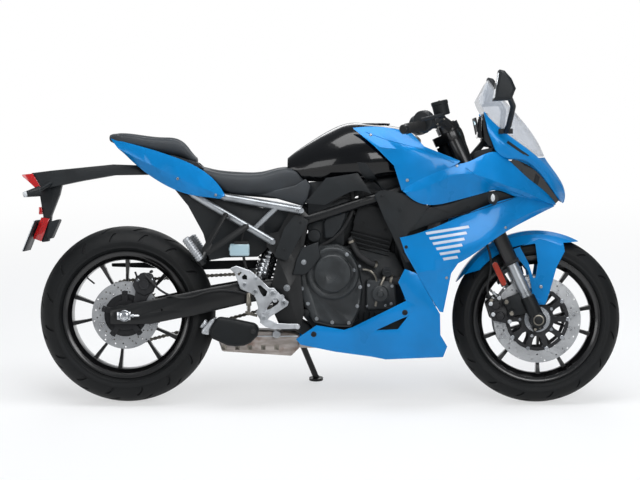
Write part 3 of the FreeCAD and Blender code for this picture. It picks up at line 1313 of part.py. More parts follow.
def front_fender():
    """The front fender on the fork's feet."""
    radius = size("front_wheel_radius")
    half = [(radius + 15, 30), (radius + 2, 58), (radius - 28, 74), (radius - 30, 71), (radius - 1, 55),
            (radius + 12, 28)]
    section = half + [(r, -w) for r, w in reversed(half)]
    start, sweep = 62.0, 96.0
    turn = math.radians(start)
    ring = [FRONT_AXLE + Vector(math.cos(turn) * r, w, math.sin(turn) * r) for r, w in section]
    arch = Part.Face(Part.makePolygon(ring + ring[:1])).revolve(FRONT_AXLE, Vector(0, -1, 0), sweep)
    leg_outline = [(640, 546), (700, 470), (716, 380), (728, 352), (760, 352), (776, 400), (800, 486),
                   (836, 556), (740, 588)]
    window = [(668, 560), (700, 500), (722, 430), (733, 500), (724, 570)]
    parts = []
    for side in (-1, 1):
        low, high = sorted((side * 73, side * 77.5))
        parts.append(plate(leg_outline, low, high, 6).cut(plate(window, low - 1, high + 1, 5)))
        low, high = sorted((side * 77, side * 86))
        parts.append(plate([(722, 372), (745, 372), (745, 358), (722, 358)], low, high))
    fender = fused(arch, *parts)
    solid("front_fender", fender.cut([shape_of("fork_sliders"), shape_of("front_calipers")]))


def mirrors_and_signals():
    """The two mirrors on the nose and the front turn signals."""
    inner, outer = size("mirror_inner"), size("mirror_outer")
    outline_of_head = [(558, 1068), (565, 1121), (577, 1174), (594, 1170), (618, 1143), (633, 1109),
                       (618, 1071)]
    shapes = []
    for side in (-1, 1):
        low, high = sorted((side * inner, side * outer))
        head = bevelled(plate(outline_of_head, low, high), 10, low, high)
        stalk = tube_along([Vector(614, side * 156, 966), Vector(622, side * 182, 988),
                            Vector(632, side * 252, 1052),
                            Vector(612, side * 300, 1090)], 10, 24)
        foot = Part.makeBox(50, 10, 18, Vector(588, side * 152 - 5, 958))
        shapes.append(largest(fused(head, stalk, foot).cut(shape_of("nose_cowl"))))
    solid("mirrors", Part.makeCompound(shapes))
    signals = []
    for side in (-1, 1):
        elbow, middle = Vector(566, side * 205, 726), Vector(566, side * 200, 726)
        tip = Vector(562, side * 262, 731)
        signal = fused(rod(Vector(568, side * 140, 720), elbow, 8), rod(middle, tip, 17))
        signals.append(largest(signal.cut([shape_of("upper_fairings"), shape_of("inner_panels")])))
    solid("turn_signals", Part.makeCompound(signals + pieces.pop("rear_signals").Shape.Solids))


def side_stand():
    """The side stand on its lug, down and flat on the floor."""
    pivot, axis = STAND_PIVOT, STAND_AXIS
    up = Vector(0, -math.sin(math.radians(LEAN)), math.cos(math.radians(LEAN)))
    shape = fused(
        rod(pivot - axis * 13, pivot + axis * 13, 13), rod(pivot, STAND_FOOT + up * 10,
                                                           size("stand_tube_radius")),
        Part.makeCylinder(26, 9, STAND_FOOT, up), Part.makeCylinder(12, 16, STAND_FOOT, up),
    )
    solid("side_stand", shape.cut(rod(pivot - axis * 20, pivot + axis * 20, 6 + RUN)))


def rear_brake():
    """The rear brake's caliper and its reservoir."""
    offset, thick, radius = size("rear_disc_offset"), size("disc_thickness"), size("rear_disc_radius")
    block = bevelled(plate([(-690, 384), (-652, 372), (-628, 396), (-640, 452), (-690, 462), (-706, 420)],
                           -122, -76, 10),
                     5, -122)
    slot = across(radius + 5, REAR_AXLE.x, REAR_AXLE.z, -offset - thick / 2 - 5, -offset + thick / 2 + 5)
    block = largest(block.cut([slot, shape_of("swingarm")]))
    bracket = plate([(-690, 384), (-652, 372), (-640, 350), (-700, 340)], -122, -116, 3)
    piston = drum(18, -666, 424, -121, -130, 3)
    solid("rear_caliper", largest(fused(block, bracket, piston).cut(shape_of("swingarm"))))
    y = size("subframe_spread") + 2
    pot = [(-361, 566), (-346, 570), (-290, 570), (-290, 526), (-352, 526), (-361, 540)]
    stem = plate([(-334, 556), (-318, 556), (-300, 636), (-318, 640)], -y - 28, -y - 22)
    reservoir = fused(bevelled(plate(pot, -y - 36, -y - 6, 6), 4, -y - 36), stem)
    solid("brake_reservoir", reservoir.cut([shape_of("subframe"), shape_of("undertray"),
                                            shape_of("passenger_rests")]))


def contents():
    """Builds every sub-part and leans the bike on its stand."""
    wheels()
    axles()
    doc.recompute()
    frame()
    swingarm()
    engine(chain())
    bodywork()
    air_box()
    tail()
    foot_controls()
    front_end()
    mirrors_and_signals()
    side_stand()
    rear_brake()
    return finish_stance()


ORIGIN_SHIFT = contents()
FreeCAD.Console.PrintMessage(f"moved onto its origin by {ORIGIN_SHIFT}\n")
problems = []
for label, item in pieces.items():
    if any(state in ("Invalid", "Error") for state in item.State) or not item.Shape.isValid():
        problems.append(label)
if problems:
    raise RuntimeError("sub-parts with faults: " + ", ".join(problems))
os.makedirs("parts", exist_ok=True)
for label, item in pieces.items():
    item.Shape.exportStep(f"parts/{label}.step")
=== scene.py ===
"""The looks of a faired sport bike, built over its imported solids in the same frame.

Pieces are modelled in millimetres in the upright bike's own frame: X forward, Y to its left, Z up, with
the floor at Z 0 and X 0 half way between the axles. The stance read from the joints then leans them over
as the bike is parked.
"""

from __future__ import annotations

import json
import logging
import math
from collections.abc import Callable, Iterable, Iterator, Sequence
from contextlib import contextmanager
from dataclasses import dataclass, field
from enum import Enum
from typing import ClassVar

import bmesh
import bpy
from mathutils import Matrix, Vector
from mathutils.bvhtree import BVHTree

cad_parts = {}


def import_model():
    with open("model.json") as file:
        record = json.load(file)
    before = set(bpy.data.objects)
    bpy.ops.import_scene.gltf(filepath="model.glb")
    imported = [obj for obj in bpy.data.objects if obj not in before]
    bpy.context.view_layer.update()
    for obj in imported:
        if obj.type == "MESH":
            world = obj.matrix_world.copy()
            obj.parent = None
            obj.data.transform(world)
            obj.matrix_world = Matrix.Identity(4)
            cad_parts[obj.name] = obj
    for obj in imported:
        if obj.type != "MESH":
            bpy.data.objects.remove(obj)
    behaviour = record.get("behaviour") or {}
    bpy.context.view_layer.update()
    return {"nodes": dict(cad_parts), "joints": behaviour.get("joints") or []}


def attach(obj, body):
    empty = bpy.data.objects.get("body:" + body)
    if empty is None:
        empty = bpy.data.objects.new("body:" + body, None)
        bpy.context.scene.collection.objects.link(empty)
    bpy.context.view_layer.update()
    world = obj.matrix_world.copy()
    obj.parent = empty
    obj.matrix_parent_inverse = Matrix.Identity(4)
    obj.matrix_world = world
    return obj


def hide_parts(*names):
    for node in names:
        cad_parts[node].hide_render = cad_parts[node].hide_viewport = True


log = logging.getLogger("sport_bike")

Point = tuple[float, float, float]
Line = Sequence[tuple[float, float]]
Test = Callable[[Vector, Vector], bool]
Spots = Sequence[tuple[float, float, float]]

MM = 0.001
REAR_AXLE = Vector((-732.535, 0.0, 315.0))
FRONT_AXLE = Vector((732.137, 0.0, 299.544))
HEAD = Vector((434.0, 0.0, 862.0))
RAKE = math.radians(25.0)
FORK_OFFSET = 32.5
FORK_SPACING = 105.0
LEG_REACH = 635.756
OUTSIDE = 600
HANDS = {-1: "right", 1: "left"}


class Body(Enum):
    """The moving bodies of the bike."""

    CHASSIS = "chassis"
    FORK = "fork"
    FRONT_WHEEL = "front_wheel"
    REAR_WHEEL = "rear_wheel"
    STAND = "side_stand"
    CAP = "fuel_cap"


class Stance:
    """Where the parked bike's frames lie in the world."""

    def __init__(self, joints: Sequence[dict]) -> None:
        """Reads the lean and the place of the bike from its joints.

        Args:
            joints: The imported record's joints.
        """
        places = {joint["name"]: joint for joint in joints}
        rear = places["rear_wheel_spin"]
        across = Vector(rear["axis"]).normalized()
        up = Vector((1, 0, 0)).cross(across)
        turn = Matrix(((1, 0, 0), tuple(across), tuple(up))).transposed().to_4x4()
        start = Vector(rear["pos_m"]) - turn.to_3x3() @ (REAR_AXLE * MM)
        self.bike = Matrix.Translation(start) @ turn @ Matrix.Scale(MM, 4)
        self.fork = self.bike @ Matrix.Translation(HEAD) @ Matrix.Rotation(-RAKE, 4, "Y")
        self.front_wheel = self.bike @ Matrix.Translation(FRONT_AXLE)
        self.rear_wheel = self.bike @ Matrix.Translation(REAR_AXLE)


@dataclass(frozen=True)
class Paint:
    """A colour as it is written for screens, from 0 to 255."""

    red: float
    green: float
    blue: float

    @property
    def linear(self) -> tuple[float, float, float, float]:
        """The same colour as light."""

        def one(value: float) -> float:
            """One channel as light."""
            share = value / 255
            return share / 12.92 if share <= 0.04045 else ((share + 0.055) / 1.055) ** 2.4

        return (one(self.red), one(self.green), one(self.blue), 1.0)

    def times(self, share: float) -> Paint:
        """A darker or lighter step of the colour."""
        return Paint(*(min(255.0, value * share) for value in (self.red, self.green, self.blue)))


class Signal:
    """A node's number output that takes part in sums as a number would."""

    def __init__(self, graph: Graph, socket: bpy.types.NodeSocket) -> None:
        """Wraps an output of a material's graph."""
        self.graph = graph
        self.socket = socket

    def _sum(self, operation: str, first: object, second: object) -> Signal:
        """One Math node between two values."""
        return self.graph.signal("ShaderNodeMath", {"operation": operation}, {0: first, 1: second})

    def __add__(self, other: object) -> Signal:
        """Adds a value."""
        return self._sum("ADD", self, other)

    __radd__ = __add__

    def __mul__(self, other: object) -> Signal:
        """Multiplies by a value."""
        return self._sum("MULTIPLY", self, other)

    __rmul__ = __mul__

    def ramp(self, low: float, high: float, start: float = 0.0, end: float = 1.0) -> Signal:
        """Spreads the values between two limits smoothly over another range."""
        settings = {"interpolation_type": "SMOOTHSTEP", "clamp": True}
        sockets = {0: self, 1: low, 2: high, 3: start, 4: end}
        return self.graph.signal("ShaderNodeMapRange", settings, sockets)


class Graph:
    """A material's nodes, with its shader and output."""

    def __init__(self, name: str) -> None:
        """Starts a material with a bare shader."""
        self.material = bpy.data.materials.new(name)
        self.material.use_nodes = True
        self.tree = self.material.node_tree
        self.tree.nodes.clear()
        self.shader = self.tree.nodes.new("ShaderNodeBsdfPrincipled")
        self.output = self.tree.nodes.new("ShaderNodeOutputMaterial")
        self.tree.links.new(self.shader.outputs[0], self.output.inputs["Surface"])

    def feed(self, socket: bpy.types.NodeSocket, value: object) -> None:
        """Sets a socket to a value, or links it to another node's output."""
        if isinstance(value, Paint):
            value = value.linear
        if isinstance(value, Signal):
            value = value.socket
        if isinstance(value, bpy.types.NodeSocket):
            self.tree.links.new(value, socket)
        else:
            socket.default_value = value

    def node(self, kind: str, settings: dict | None = None, sockets: dict | None = None) -> bpy.types.Node:
        """Adds a node.

        Args:
            kind: The node's type.
            settings: Its properties, which are set first.
            sockets: The values or links of its inputs, by name or number.

        Returns:
            The node.
        """
        made = self.tree.nodes.new(kind)
        for name, value in (settings or {}).items():
            setattr(made, name, value)
        for name, value in (sockets or {}).items():
            self.feed(made.inputs[name], value)
        return made

    def signal(self, kind: str, settings: dict | None = None, sockets: dict | None = None,
               output: object = 0) -> Signal:
        """Adds a node and gives one of its number outputs."""
        return Signal(self, self.node(kind, settings, sockets).outputs[output])

    def place(self) -> bpy.types.NodeSocket:
        """The point's place in the object, in metres."""
        return self.node("ShaderNodeTexCoord").outputs["Object"]

    def noise(self, scale: float, detail: float = 2.0, stretch: Point = (1, 1, 1)) -> Signal:
        """A cloudy pattern, stretched along the axes."""
        where = self.node("ShaderNodeMapping", None, {"Vector": self.place(), "Scale": stretch}).outputs[0]
        sockets = {"Vector": where, "Scale": scale, "Detail": detail}
        return self.signal("ShaderNodeTexNoise", None, sockets, "Fac")

    def blend(self, share: object, first: object, second: object) -> bpy.types.NodeSocket:
        """A colour between two."""
        mixed = self.node("ShaderNodeMix", {"data_type": "RGBA"}, {0: share, 6: first, 7: second})
        return mixed.outputs[2]

    def bump(self, height: Signal, depth: float) -> None:
        """Lets a pattern stand out of the surface by a depth in metres."""
        bump = self.node("ShaderNodeBump", None, {"Strength": 1.0, "Distance": depth, "Height": height})
        self.shade(Normal=bump.outputs[0])

    def shade(self, **values: object) -> Graph:
        """Sets the shader's sockets, named with underscores for spaces."""
        for name, value in values.items():
            self.feed(self.shader.inputs[name.replace("_", " ")], value)
        return self


@dataclass(frozen=True)
class Finish:
    """A surface with an even colour, a little cloudiness and a fine grain."""

    name: str
    paint: Paint
    slot: str
    rough: float = 0.4
    metallic: float = 0.0
    coat: float = 0.0
    coat_rough: float = 0.03
    grain: float = 900.0
    grain_depth: float = 0.0
    cloud: float = 14.0
    cloud_share: float = 0.12
    rough_spread: float = 0.08
    specular: float = 0.5

    def make(self) -> bpy.types.Material:
        """Builds the material."""
        graph = Graph(self.name)
        cloud = graph.noise(self.cloud, 3.0)
        dark, light = self.paint.times(1 - self.cloud_share), self.paint.times(1 + self.cloud_share)
        graph.shade(
            Base_Color=graph.blend(cloud.ramp(0.3, 0.7), dark, light),
            Roughness=cloud.ramp(0.2, 0.8, self.rough - self.rough_spread, self.rough + self.rough_spread),
            Metallic=self.metallic,
            Coat_Weight=self.coat,
            Coat_Roughness=self.coat_rough,
            Specular_IOR_Level=self.specular,
        )
        if self.grain_depth:
            graph.bump(graph.noise(self.grain), self.grain_depth)
        return graph.material


BLUE = Paint(0, 117, 184)
FINISHES = (Finish("blue_gloss", BLUE, "blue_paint", 0.3, 0.1, 0.24, 0.03, 2600, 0.00004, 6, 0.04, 0.04,
                   0.15), Finish("black_gloss", Paint(5, 6, 8), "black_paint", 0.2, 0, 0.5, 0.02, 1800,
                                 0.00003, 5, 0.1, 0.04, 0.15),
            Finish("seat_vinyl", Paint(34, 39, 44), "seat_cover", 0.62, 0, 0, 0.3, 700, 0.0004, 18, 0.1,
                   0.06), Finish("moulded_plastic", Paint(20, 24, 27), "dark_plastic", 0.52, 0, 0, 0.3, 1100,
                                 0.0002, 12, 0.12, 0.06, 0.3),
            Finish("frame_enamel", Paint(9, 11, 13), "black_frame", 0.4, 0, 0.15, 0.15, 900, 0.0001, 10, 0.15,
                   0.06, 0.3), Finish("silver_tube", Paint(146, 150, 154), "silver_tube", 0.36, 0.85, 0, 0.2,
                                      700, 0.0001, 14, 0.1, 0.08),
            Finish("cast_dark", Paint(19, 22, 24), "engine_black", 0.46, 0.55, 0, 0.2, 800, 0.0004, 16, 0.14,
                   0.08), Finish("cast_grey", Paint(18, 20, 22), "engine_grey", 0.5, 0.55, 0, 0.2, 700,
                                 0.0005, 16, 0.16, 0.08), Finish("cast_silver", Paint(176, 179, 183),
                                                                 "silver_tube", 0.38, 0.75, 0.1, 0.3, 900,
                                                                 0.0003, 20, 0.08, 0.08),
            Finish("matt_black", Paint(16, 19, 21), "muffler_black", 0.55, 0.1, 0, 0.3, 1400, 0.0003, 14,
                   0.12, 0.05, 0.25), Finish("fork_black", Paint(13, 14, 16), "fork_black", 0.34, 0.3, 0.3,
                                             0.15, 1000, 0.0001, 12, 0.12, 0.05),
            Finish("bright_steel", Paint(190, 193, 197), "fork_steel", 0.2, 0.95, 0, 0.1, 900, 0.0001, 16,
                   0.08, 0.08), Finish("caliper_dark", Paint(26, 27, 30), "caliper_black", 0.45, 0.4, 0, 0.2,
                                       900, 0.0003, 16, 0.12, 0.06),
            Finish("rim_black", Paint(11, 11, 13), "rim_black", 0.3, 0.2, 0.5, 0.12, 900, 0.0001, 12, 0.12,
                   0.05), Finish("rubber", Paint(15, 16, 18), "grip_rubber", 0.7, 0, 0, 0.3, 800, 0.0003, 14,
                                 0.15, 0.06), Finish("radiator_core", Paint(34, 35, 37), "radiator_black",
                                                     0.5, 0.3, 0, 0.3, 900, 0.0002, 12, 0.12, 0.06),
            Finish("display_glass", Paint(10, 11, 13), "display", 0.12, 0, 1, 0.02, 900, 0, 12, 0.1, 0.03),
            Finish("plate_enamel", Paint(200, 203, 206), "plate_white", 0.4, 0, 0.2, 0.2, 900, 0.0001, 9,
                   0.02, 0.05), Finish("cover_paint", Paint(42, 45, 47), "engine_black", 0.42, 0.5, 0.1, 0.2,
                                       800, 0.0004, 16, 0.12, 0.08),
            Finish("screw_steel", Paint(150, 154, 158), "fork_steel", 0.3, 0.9, 0, 0.1, 900, 0.0001, 16, 0.08,
                   0.08), Finish("pale_film", Paint(176, 190, 204), "blue_paint", 0.4, 0, 0.6, 0.1, 900, 0, 9,
                                 0.04, 0.05), Finish("deep_shadow", Paint(5, 6, 8), "dark_plastic", 0.8, 0, 0,
                                                     0.3, 900, 0, 9, 0.1, 0.05),
            Finish("mirror_silver", Paint(214, 218, 222), "fork_steel", 0.05, 1, 0, 0.1, 900, 0, 9, 0.02,
                   0.02), Finish("thread", Paint(70, 76, 82), "seat_cover", 0.7, 0, 0, 0.3, 900, 0.0003, 9,
                                 0.1, 0.05), Finish("drive_steel", Paint(120, 116, 108), "disc_steel", 0.34,
                                                    0.9, 0, 0.2, 800, 0.0002, 40, 0.14, 0.08),)


@dataclass(frozen=True)
class Lens:
    """Clear or coloured moulding that light goes through."""

    name: str
    paint: Paint
    slot: str
    clear: float
    rough: float = 0.05
    # Its own glow; on the unlit lenses and the fluid pot this is painted light
    glow: float = 0.0
    coat: float = 1.0

    def make(self) -> bpy.types.Material:
        """Builds the material: a gloss skin over a see-through share."""
        graph = Graph(self.name)
        cloud = graph.noise(9.0, 2.0)
        graph.shade(
            Base_Color=graph.blend(cloud.ramp(0.3, 0.7), self.paint.times(0.94), self.paint),
            Roughness=cloud.ramp(0.2, 0.8, self.rough, self.rough + 0.03),
            Coat_Weight=self.coat,
            Coat_Roughness=0.02,
            Emission_Color=self.paint,
            Emission_Strength=self.glow,
            Alpha=1 - self.clear,
        )
        return graph.material


# The faint glow of the red and amber lenses and of the fluid pot is painted light, as none of them is lit;
# only the gauge's glow stands for a lit display
LENSES = (
    Lens("clear_screen", Paint(205, 212, 222), "clear_screen", 0.68),
    Lens("smoked_lens", Paint(3, 4, 5), "lamp_lens", 0.0, 0.08, 0.0, 0.3),
    Lens("red_lens", Paint(176, 16, 18), "red_lens", 0.0, 0.12, 0.06),
    Lens("deep_red_lens", Paint(132, 18, 20), "red_lens", 0.0, 0.2, 0.03, 0.3),
    Lens("deep_amber_lens", Paint(150, 42, 22), "amber_lens", 0.0, 0.2, 0.03, 0.3),
    Lens("clear_lens", Paint(216, 220, 224), "amber_lens", 0.25, 0.08),
    Lens("gauge_glow", Paint(150, 205, 225), "display", 0.0, 0.2, 0.9),
    Lens("fluid_pot", Paint(158, 184, 194), "fluid_pot", 0.0, 0.25, 0.05),
)


@dataclass(frozen=True)
class HotSteel:
    """Exhaust steel, stained brown by heat."""

    name: str = "hot_steel"
    slot: str = "exhaust_steel"

    def make(self) -> bpy.types.Material:
        """Builds the material from wide brown clouds and fine scratches."""
        graph = Graph(self.name)
        stain = graph.noise(16.0, 5.0)
        streak = graph.noise(60.0, 3.0, (0.25, 1.0, 1.0))
        steel = graph.blend(streak.ramp(0.3, 0.7), Paint(142, 134, 128), Paint(178, 170, 165))
        graph.shade(
            Base_Color=graph.blend(stain.ramp(0.56, 0.76), steel, Paint(122, 96, 84)),
            Roughness=stain.ramp(0.2, 0.8, 0.28, 0.5),
            Metallic=stain.ramp(0.5, 0.7, 0.85, 0.5),
        )
        graph.bump(streak, 0.0003)
        return graph.material


@dataclass(frozen=True)
class TyreRubber:
    """Tyre rubber with cloudy dusty patches and a fine grain."""

    name: str = "tyre_rubber"
    slot: str = "tyre"

    def make(self) -> bpy.types.Material:
        """Builds the material."""
        graph = Graph(self.name)
        cloud = graph.noise(7.0, 4.0)
        fine = graph.noise(420.0, 3.0)
        graph.shade(
            Base_Color=graph.blend(cloud.ramp(0.3, 0.7), Paint(9, 11, 12), Paint(14, 16, 18)),
            Roughness=cloud.ramp(0.2, 0.8, 0.52, 0.68),
            Specular_IOR_Level=0.25,
        )
        graph.bump(fine, 0.00025)
        return graph.material


@dataclass(frozen=True)
class TurnedSteel:
    """Disc steel, ground in rings round the axle."""

    name: str
    centre: Vector
    axis: Vector
    slot: str = "disc_steel"

    def make(self) -> bpy.types.Material:
        """Builds the material from rings about the wheel's own axle."""
        graph = Graph(self.name)
        offset = graph.node("ShaderNodeVectorMath", {"operation": "SUBTRACT"},
                            {0: graph.place(), 1: self.centre})
        along = graph.node("ShaderNodeVectorMath", {"operation": "PROJECT"},
                           {0: offset.outputs[0], 1: self.axis})
        spoke = graph.node("ShaderNodeVectorMath", {"operation": "SUBTRACT"},
                           {0: offset.outputs[0], 1: along.outputs[0]})
        radius = graph.signal("ShaderNodeVectorMath", {"operation": "LENGTH"}, {0: spoke.outputs[0]}, "Value")
        rings = graph.signal("ShaderNodeTexNoise", {"noise_dimensions": "1D"},
                             {"W": radius * 2600.0, "Scale": 1.0}, "Fac")
        cloud = graph.noise(22.0, 3.0)
        graph.shade(
            Base_Color=graph.blend(rings.ramp(0.3, 0.7), Paint(158, 160, 163), Paint(196, 198, 200)),
            Roughness=cloud.ramp(0.2, 0.8, 0.24, 0.38),
            Metallic=0.95,
        )
        graph.bump(rings, 0.0001)
        return graph.material


class Finishes:
    """Every finish of the bike, built when it is first asked for."""

    def __init__(self, joints: Sequence[dict]) -> None:
        """Gathers the finishes.

        Args:
            joints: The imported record's joints, which place the turned discs.
        """
        kinds: list = [*FINISHES, *LENSES, HotSteel(), TyreRubber()]
        for joint in joints:
            if joint["name"].endswith("wheel_spin"):
                wheel = joint["child"]
                kinds.append(TurnedSteel(f"{wheel}_disc", Vector(joint["pos_m"]), Vector(joint["axis"])))
        self.kinds = {kind.name: kind for kind in kinds}
        self.made: dict[str, bpy.types.Material] = {}

    def get(self, name: str) -> bpy.types.Material:
        """The finish of that name."""
        if name not in self.made:
            self.made[name] = self.kinds[name].make()
        return self.made[name]

    def slot(self, name: str) -> str:
        """The record's material slot of a finish."""
        return self.kinds[name].slot


class Work:
    """One mesh that is modelled in edit mode as by hand, in millimetres."""

    def __init__(self, made: bpy.types.Object) -> None:
        """Takes an object to work on."""
        self.object = made

    @staticmethod
    def _new() -> Work:
        """The primitive that was just added, with its place in its mesh."""
        made = bpy.context.object
        made.data.transform(made.matrix_world)
        made.matrix_world = Matrix.Identity(4)
        return Work(made)

    @staticmethod
    def box(low: Point, high: Point) -> Work:
        """A block between two corners."""
        low, high = Vector(low), Vector(high)
        clear()
        bpy.ops.mesh.primitive_cube_add(size=1, location=(low + high) / 2, scale=high - low)
        return Work._new()

    @staticmethod
    def rod(start: Point, end: Point, radius: float, sides: int = 24,
            end_radius: float | None = None) -> Work:
        """A round bar or cone between two points."""
        start, end = Vector(start), Vector(end)
        turn = (end - start).to_track_quat("Z", "Y").to_euler()
        clear()
        bpy.ops.mesh.primitive_cone_add(
            vertices=sides, radius1=radius, radius2=radius if end_radius is None else end_radius,
            depth=(end - start).length, location=(start + end) / 2, rotation=turn)
        return Work._new()

    @staticmethod
    def ball(centre: Point, radii: Point, rings: int = 12, segments: int = 20) -> Work:
        """A round or stretched ball."""
        clear()
        bpy.ops.mesh.primitive_uv_sphere_add(segments=segments, ring_count=rings, radius=1, location=centre,
                                             scale=radii)
        return Work._new()

    @staticmethod
    def plate(outline: Line, y_from: float, y_to: float) -> Work:
        """A flat plate with a side outline of (X, Z) corners."""
        work = Work.face([(x, y_from, z) for x, z in outline])
        with work.editing():
            bpy.ops.mesh.select_all(action="SELECT")
            bpy.ops.mesh.extrude_region_move(TRANSFORM_OT_translate={"value": (0, y_to - y_from, 0)})
            bpy.ops.mesh.select_all(action="SELECT")
            bpy.ops.mesh.normals_make_consistent(inside=False)
        return work

    @staticmethod
    def face(corners: Sequence[Point]) -> Work:
        """One face, made from a circle whose corners are moved to their places."""
        clear()
        bpy.ops.mesh.primitive_circle_add(vertices=len(corners), radius=1, fill_type="NGON")
        work = Work._new()
        for vertex, corner in zip(work.object.data.vertices, corners):
            vertex.co = corner
        return work

    @staticmethod
    def turned(profile: Line, steps: int = 96) -> Work:
        """A form turned about the Y axis from a profile of (radius, Y) corners."""
        clear()
        bpy.ops.mesh.primitive_circle_add(vertices=len(profile), radius=1, fill_type="NOTHING")
        work = Work._new()
        for vertex, (radius, y) in zip(work.object.data.vertices, profile):
            vertex.co = (radius, y, 0)
        with work.editing("EDGE"):
            bpy.ops.mesh.select_all(action="SELECT")
            bpy.ops.mesh.spin(steps=steps, angle=math.tau, center=(0, 0, 0), axis=(0, 1, 0))
            bpy.ops.mesh.select_all(action="SELECT")
            bpy.ops.mesh.remove_doubles(threshold=0.01)
            bpy.ops.mesh.normals_make_consistent(inside=False)
        return work

    @staticmethod
    def sheet(rows: Sequence[Sequence[Point]]) -> Work:
        """A grid laid through rows of points, as many in each row."""
        count = len(rows[0])
        clear()
        bpy.ops.mesh.primitive_grid_add(x_subdivisions=count - 1, y_subdivisions=len(rows) - 1, size=2)
        work = Work._new()
        for i, row in enumerate(rows):
            for j, corner in enumerate(row):
                work.object.data.vertices[i * count + j].co = corner
        return work

    @staticmethod
    def hose(points: Sequence[Point], radius: float, sides: int = 12) -> Work:
        """A smooth round tube along a line of control points, with closed ends."""
        curve = bpy.data.curves.new("hose", "CURVE")
        curve.dimensions, curve.bevel_depth, curve.use_fill_caps = "3D", radius, True
        curve.bevel_resolution, curve.resolution_u = max(1, sides // 4 - 1), 8
        spline = curve.splines.new("NURBS")
        spline.points.add(len(points) - 1)
        for item, point in zip(spline.points, points):
            item.co = (*point, 1.0)
        spline.order_u, spline.use_endpoint_u = min(3, len(points)), True
        made = bpy.data.objects.new("hose", curve)
        bpy.context.scene.collection.objects.link(made)
        clear()
        made.select_set(True)
        bpy.context.view_layer.objects.active = made
        bpy.ops.object.convert(target="MESH")
        return Work(bpy.context.object)

    @contextmanager
    def editing(self, kind: str = "FACE") -> Iterator[bmesh.types.BMesh]:
        """Edit mode on this mesh alone, with nothing selected at first."""
        clear()
        self.object.select_set(True)
        bpy.context.view_layer.objects.active = self.object
        bpy.ops.object.mode_set(mode="EDIT")
        bpy.ops.mesh.select_mode(type=kind)
        bpy.ops.mesh.select_all(action="DESELECT")
        mesh = bmesh.from_edit_mesh(self.object.data)
        mesh.faces.ensure_lookup_table()
        try:
            yield mesh
        finally:
            bpy.ops.object.mode_set(mode="OBJECT")

    @staticmethod
    def pick(mesh: bmesh.types.BMesh, test: Test) -> int:
        """Selects the faces whose centre and normal pass a test.

        Returns:
            How many were picked.
        """
        count = 0
        for item in mesh.faces:
            chosen = test(item.calc_center_median(), item.normal)
            item.select_set(chosen)
            count += chosen
        return count

    def inset(self, test: Test, thickness: float, depth: float = 0.0, each: bool = False) -> Work:
        """Insets the picked faces and pushes what is inside along its normal."""
        with self.editing() as mesh:
            if self.pick(mesh, test):
                bpy.ops.mesh.inset(thickness=thickness, depth=depth, use_individual=each)
        return self

    def bevel(self, width: float, segments: int = 2, angle: float = 35.0) -> Work:
        """Rounds the edges sharper than an angle."""
        return self.modify("BEVEL", width=width, segments=segments, limit_method="ANGLE",
                           angle_limit=math.radians(angle), miter_outer="MITER_ARC")

    def modify(self, kind: str, **settings: object) -> Work:
        """Adds a modifier and applies it."""
        clear()
        self.object.select_set(True)
        bpy.context.view_layer.objects.active = self.object
        step = self.object.modifiers.new(kind.lower(), kind)
        for name, value in settings.items():
            setattr(step, name, value)
        bpy.ops.object.modifier_apply(modifier=step.name)
        return self

    def wall(self, thickness: float, offset: float = -1.0) -> Work:
        """Gives an open surface a thickness."""
        return self.modify("SOLIDIFY", thickness=thickness, offset=offset, use_even_offset=True)

    def move(self, matrix: Matrix) -> Work:
        """Moves the mesh; a mirroring move turns its faces round again."""
        self.object.data.transform(matrix)
        if matrix.determinant() < 0:
            self.object.data.flip_normals()
        return self

    def twin(self, matrix: Matrix | None = None) -> Work:
        """A copy with its own mesh, mirrored to the other side unless a matrix is given."""
        copy = self.object.copy()
        copy.data = self.object.data.copy()
        bpy.context.scene.collection.objects.link(copy)
        return Work(copy).move(matrix or Matrix.Scale(-1, 4, (0, 1, 0)))

    def cut(self, *tools: Work) -> Work:
        """Takes the tools' forms away and removes the tools."""
        for tool in tools:
            self.modify("BOOLEAN", operation="DIFFERENCE", object=tool.object, solver="EXACT")
            bpy.data.objects.remove(tool.object)
        return self

    def finish(self, name: str, body: Body, finish: str, where: Matrix, kit: Finishes, smooth: float = 32.0,
               replaces: Sequence[str] = ()) -> bpy.types.Object:
        """Names, places and dresses the finished piece, and lets it ride on its body.

        Args:
            name: The piece's name.
            body: The body that it moves with.
            finish: The name of its finish.
            where: The frame that it was modelled in.
            kit: The finishes.
            smooth: Edges flatter than this many degrees are shaded smooth.
            replaces: The solids that it stands for.

        Returns:
            The finished object.
        """
        made = self.object
        made.name = name
        made.data.name = name
        made.data.transform(where)
        clear()
        made.select_set(True)
        bpy.context.view_layer.objects.active = made
        bpy.ops.object.shade_smooth_by_angle(angle=math.radians(smooth))
        made.data.materials.clear()
        made.data.materials.append(kit.get(finish))
        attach(made, body.value)
        kit.slot(finish)
        if replaces:
            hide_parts(*replaces)
        log.info("%s: %d faces", name, len(made.data.polygons))
        return made


def clear() -> None:
    """Deselects everything."""
    bpy.ops.object.select_all(action="DESELECT")


def facing(x: float, y: float, z: float) -> Test:
    """A test for faces that look along a direction of length 1, within about 25 degrees."""
    way = Vector((x, y, z))
    return lambda _, normal: normal.dot(way) > 0.9


def joined(works: Iterable[Work]) -> Work:
    """Several meshes as one.

    Args:
        works: The meshes, which are used up.

    Returns:
        The one mesh.
    """
    works = list(works)
    clear()
    for work in works:
        work.object.select_set(True)
    bpy.context.view_layer.objects.active = works[0].object
    bpy.ops.object.join()
    return works[0]


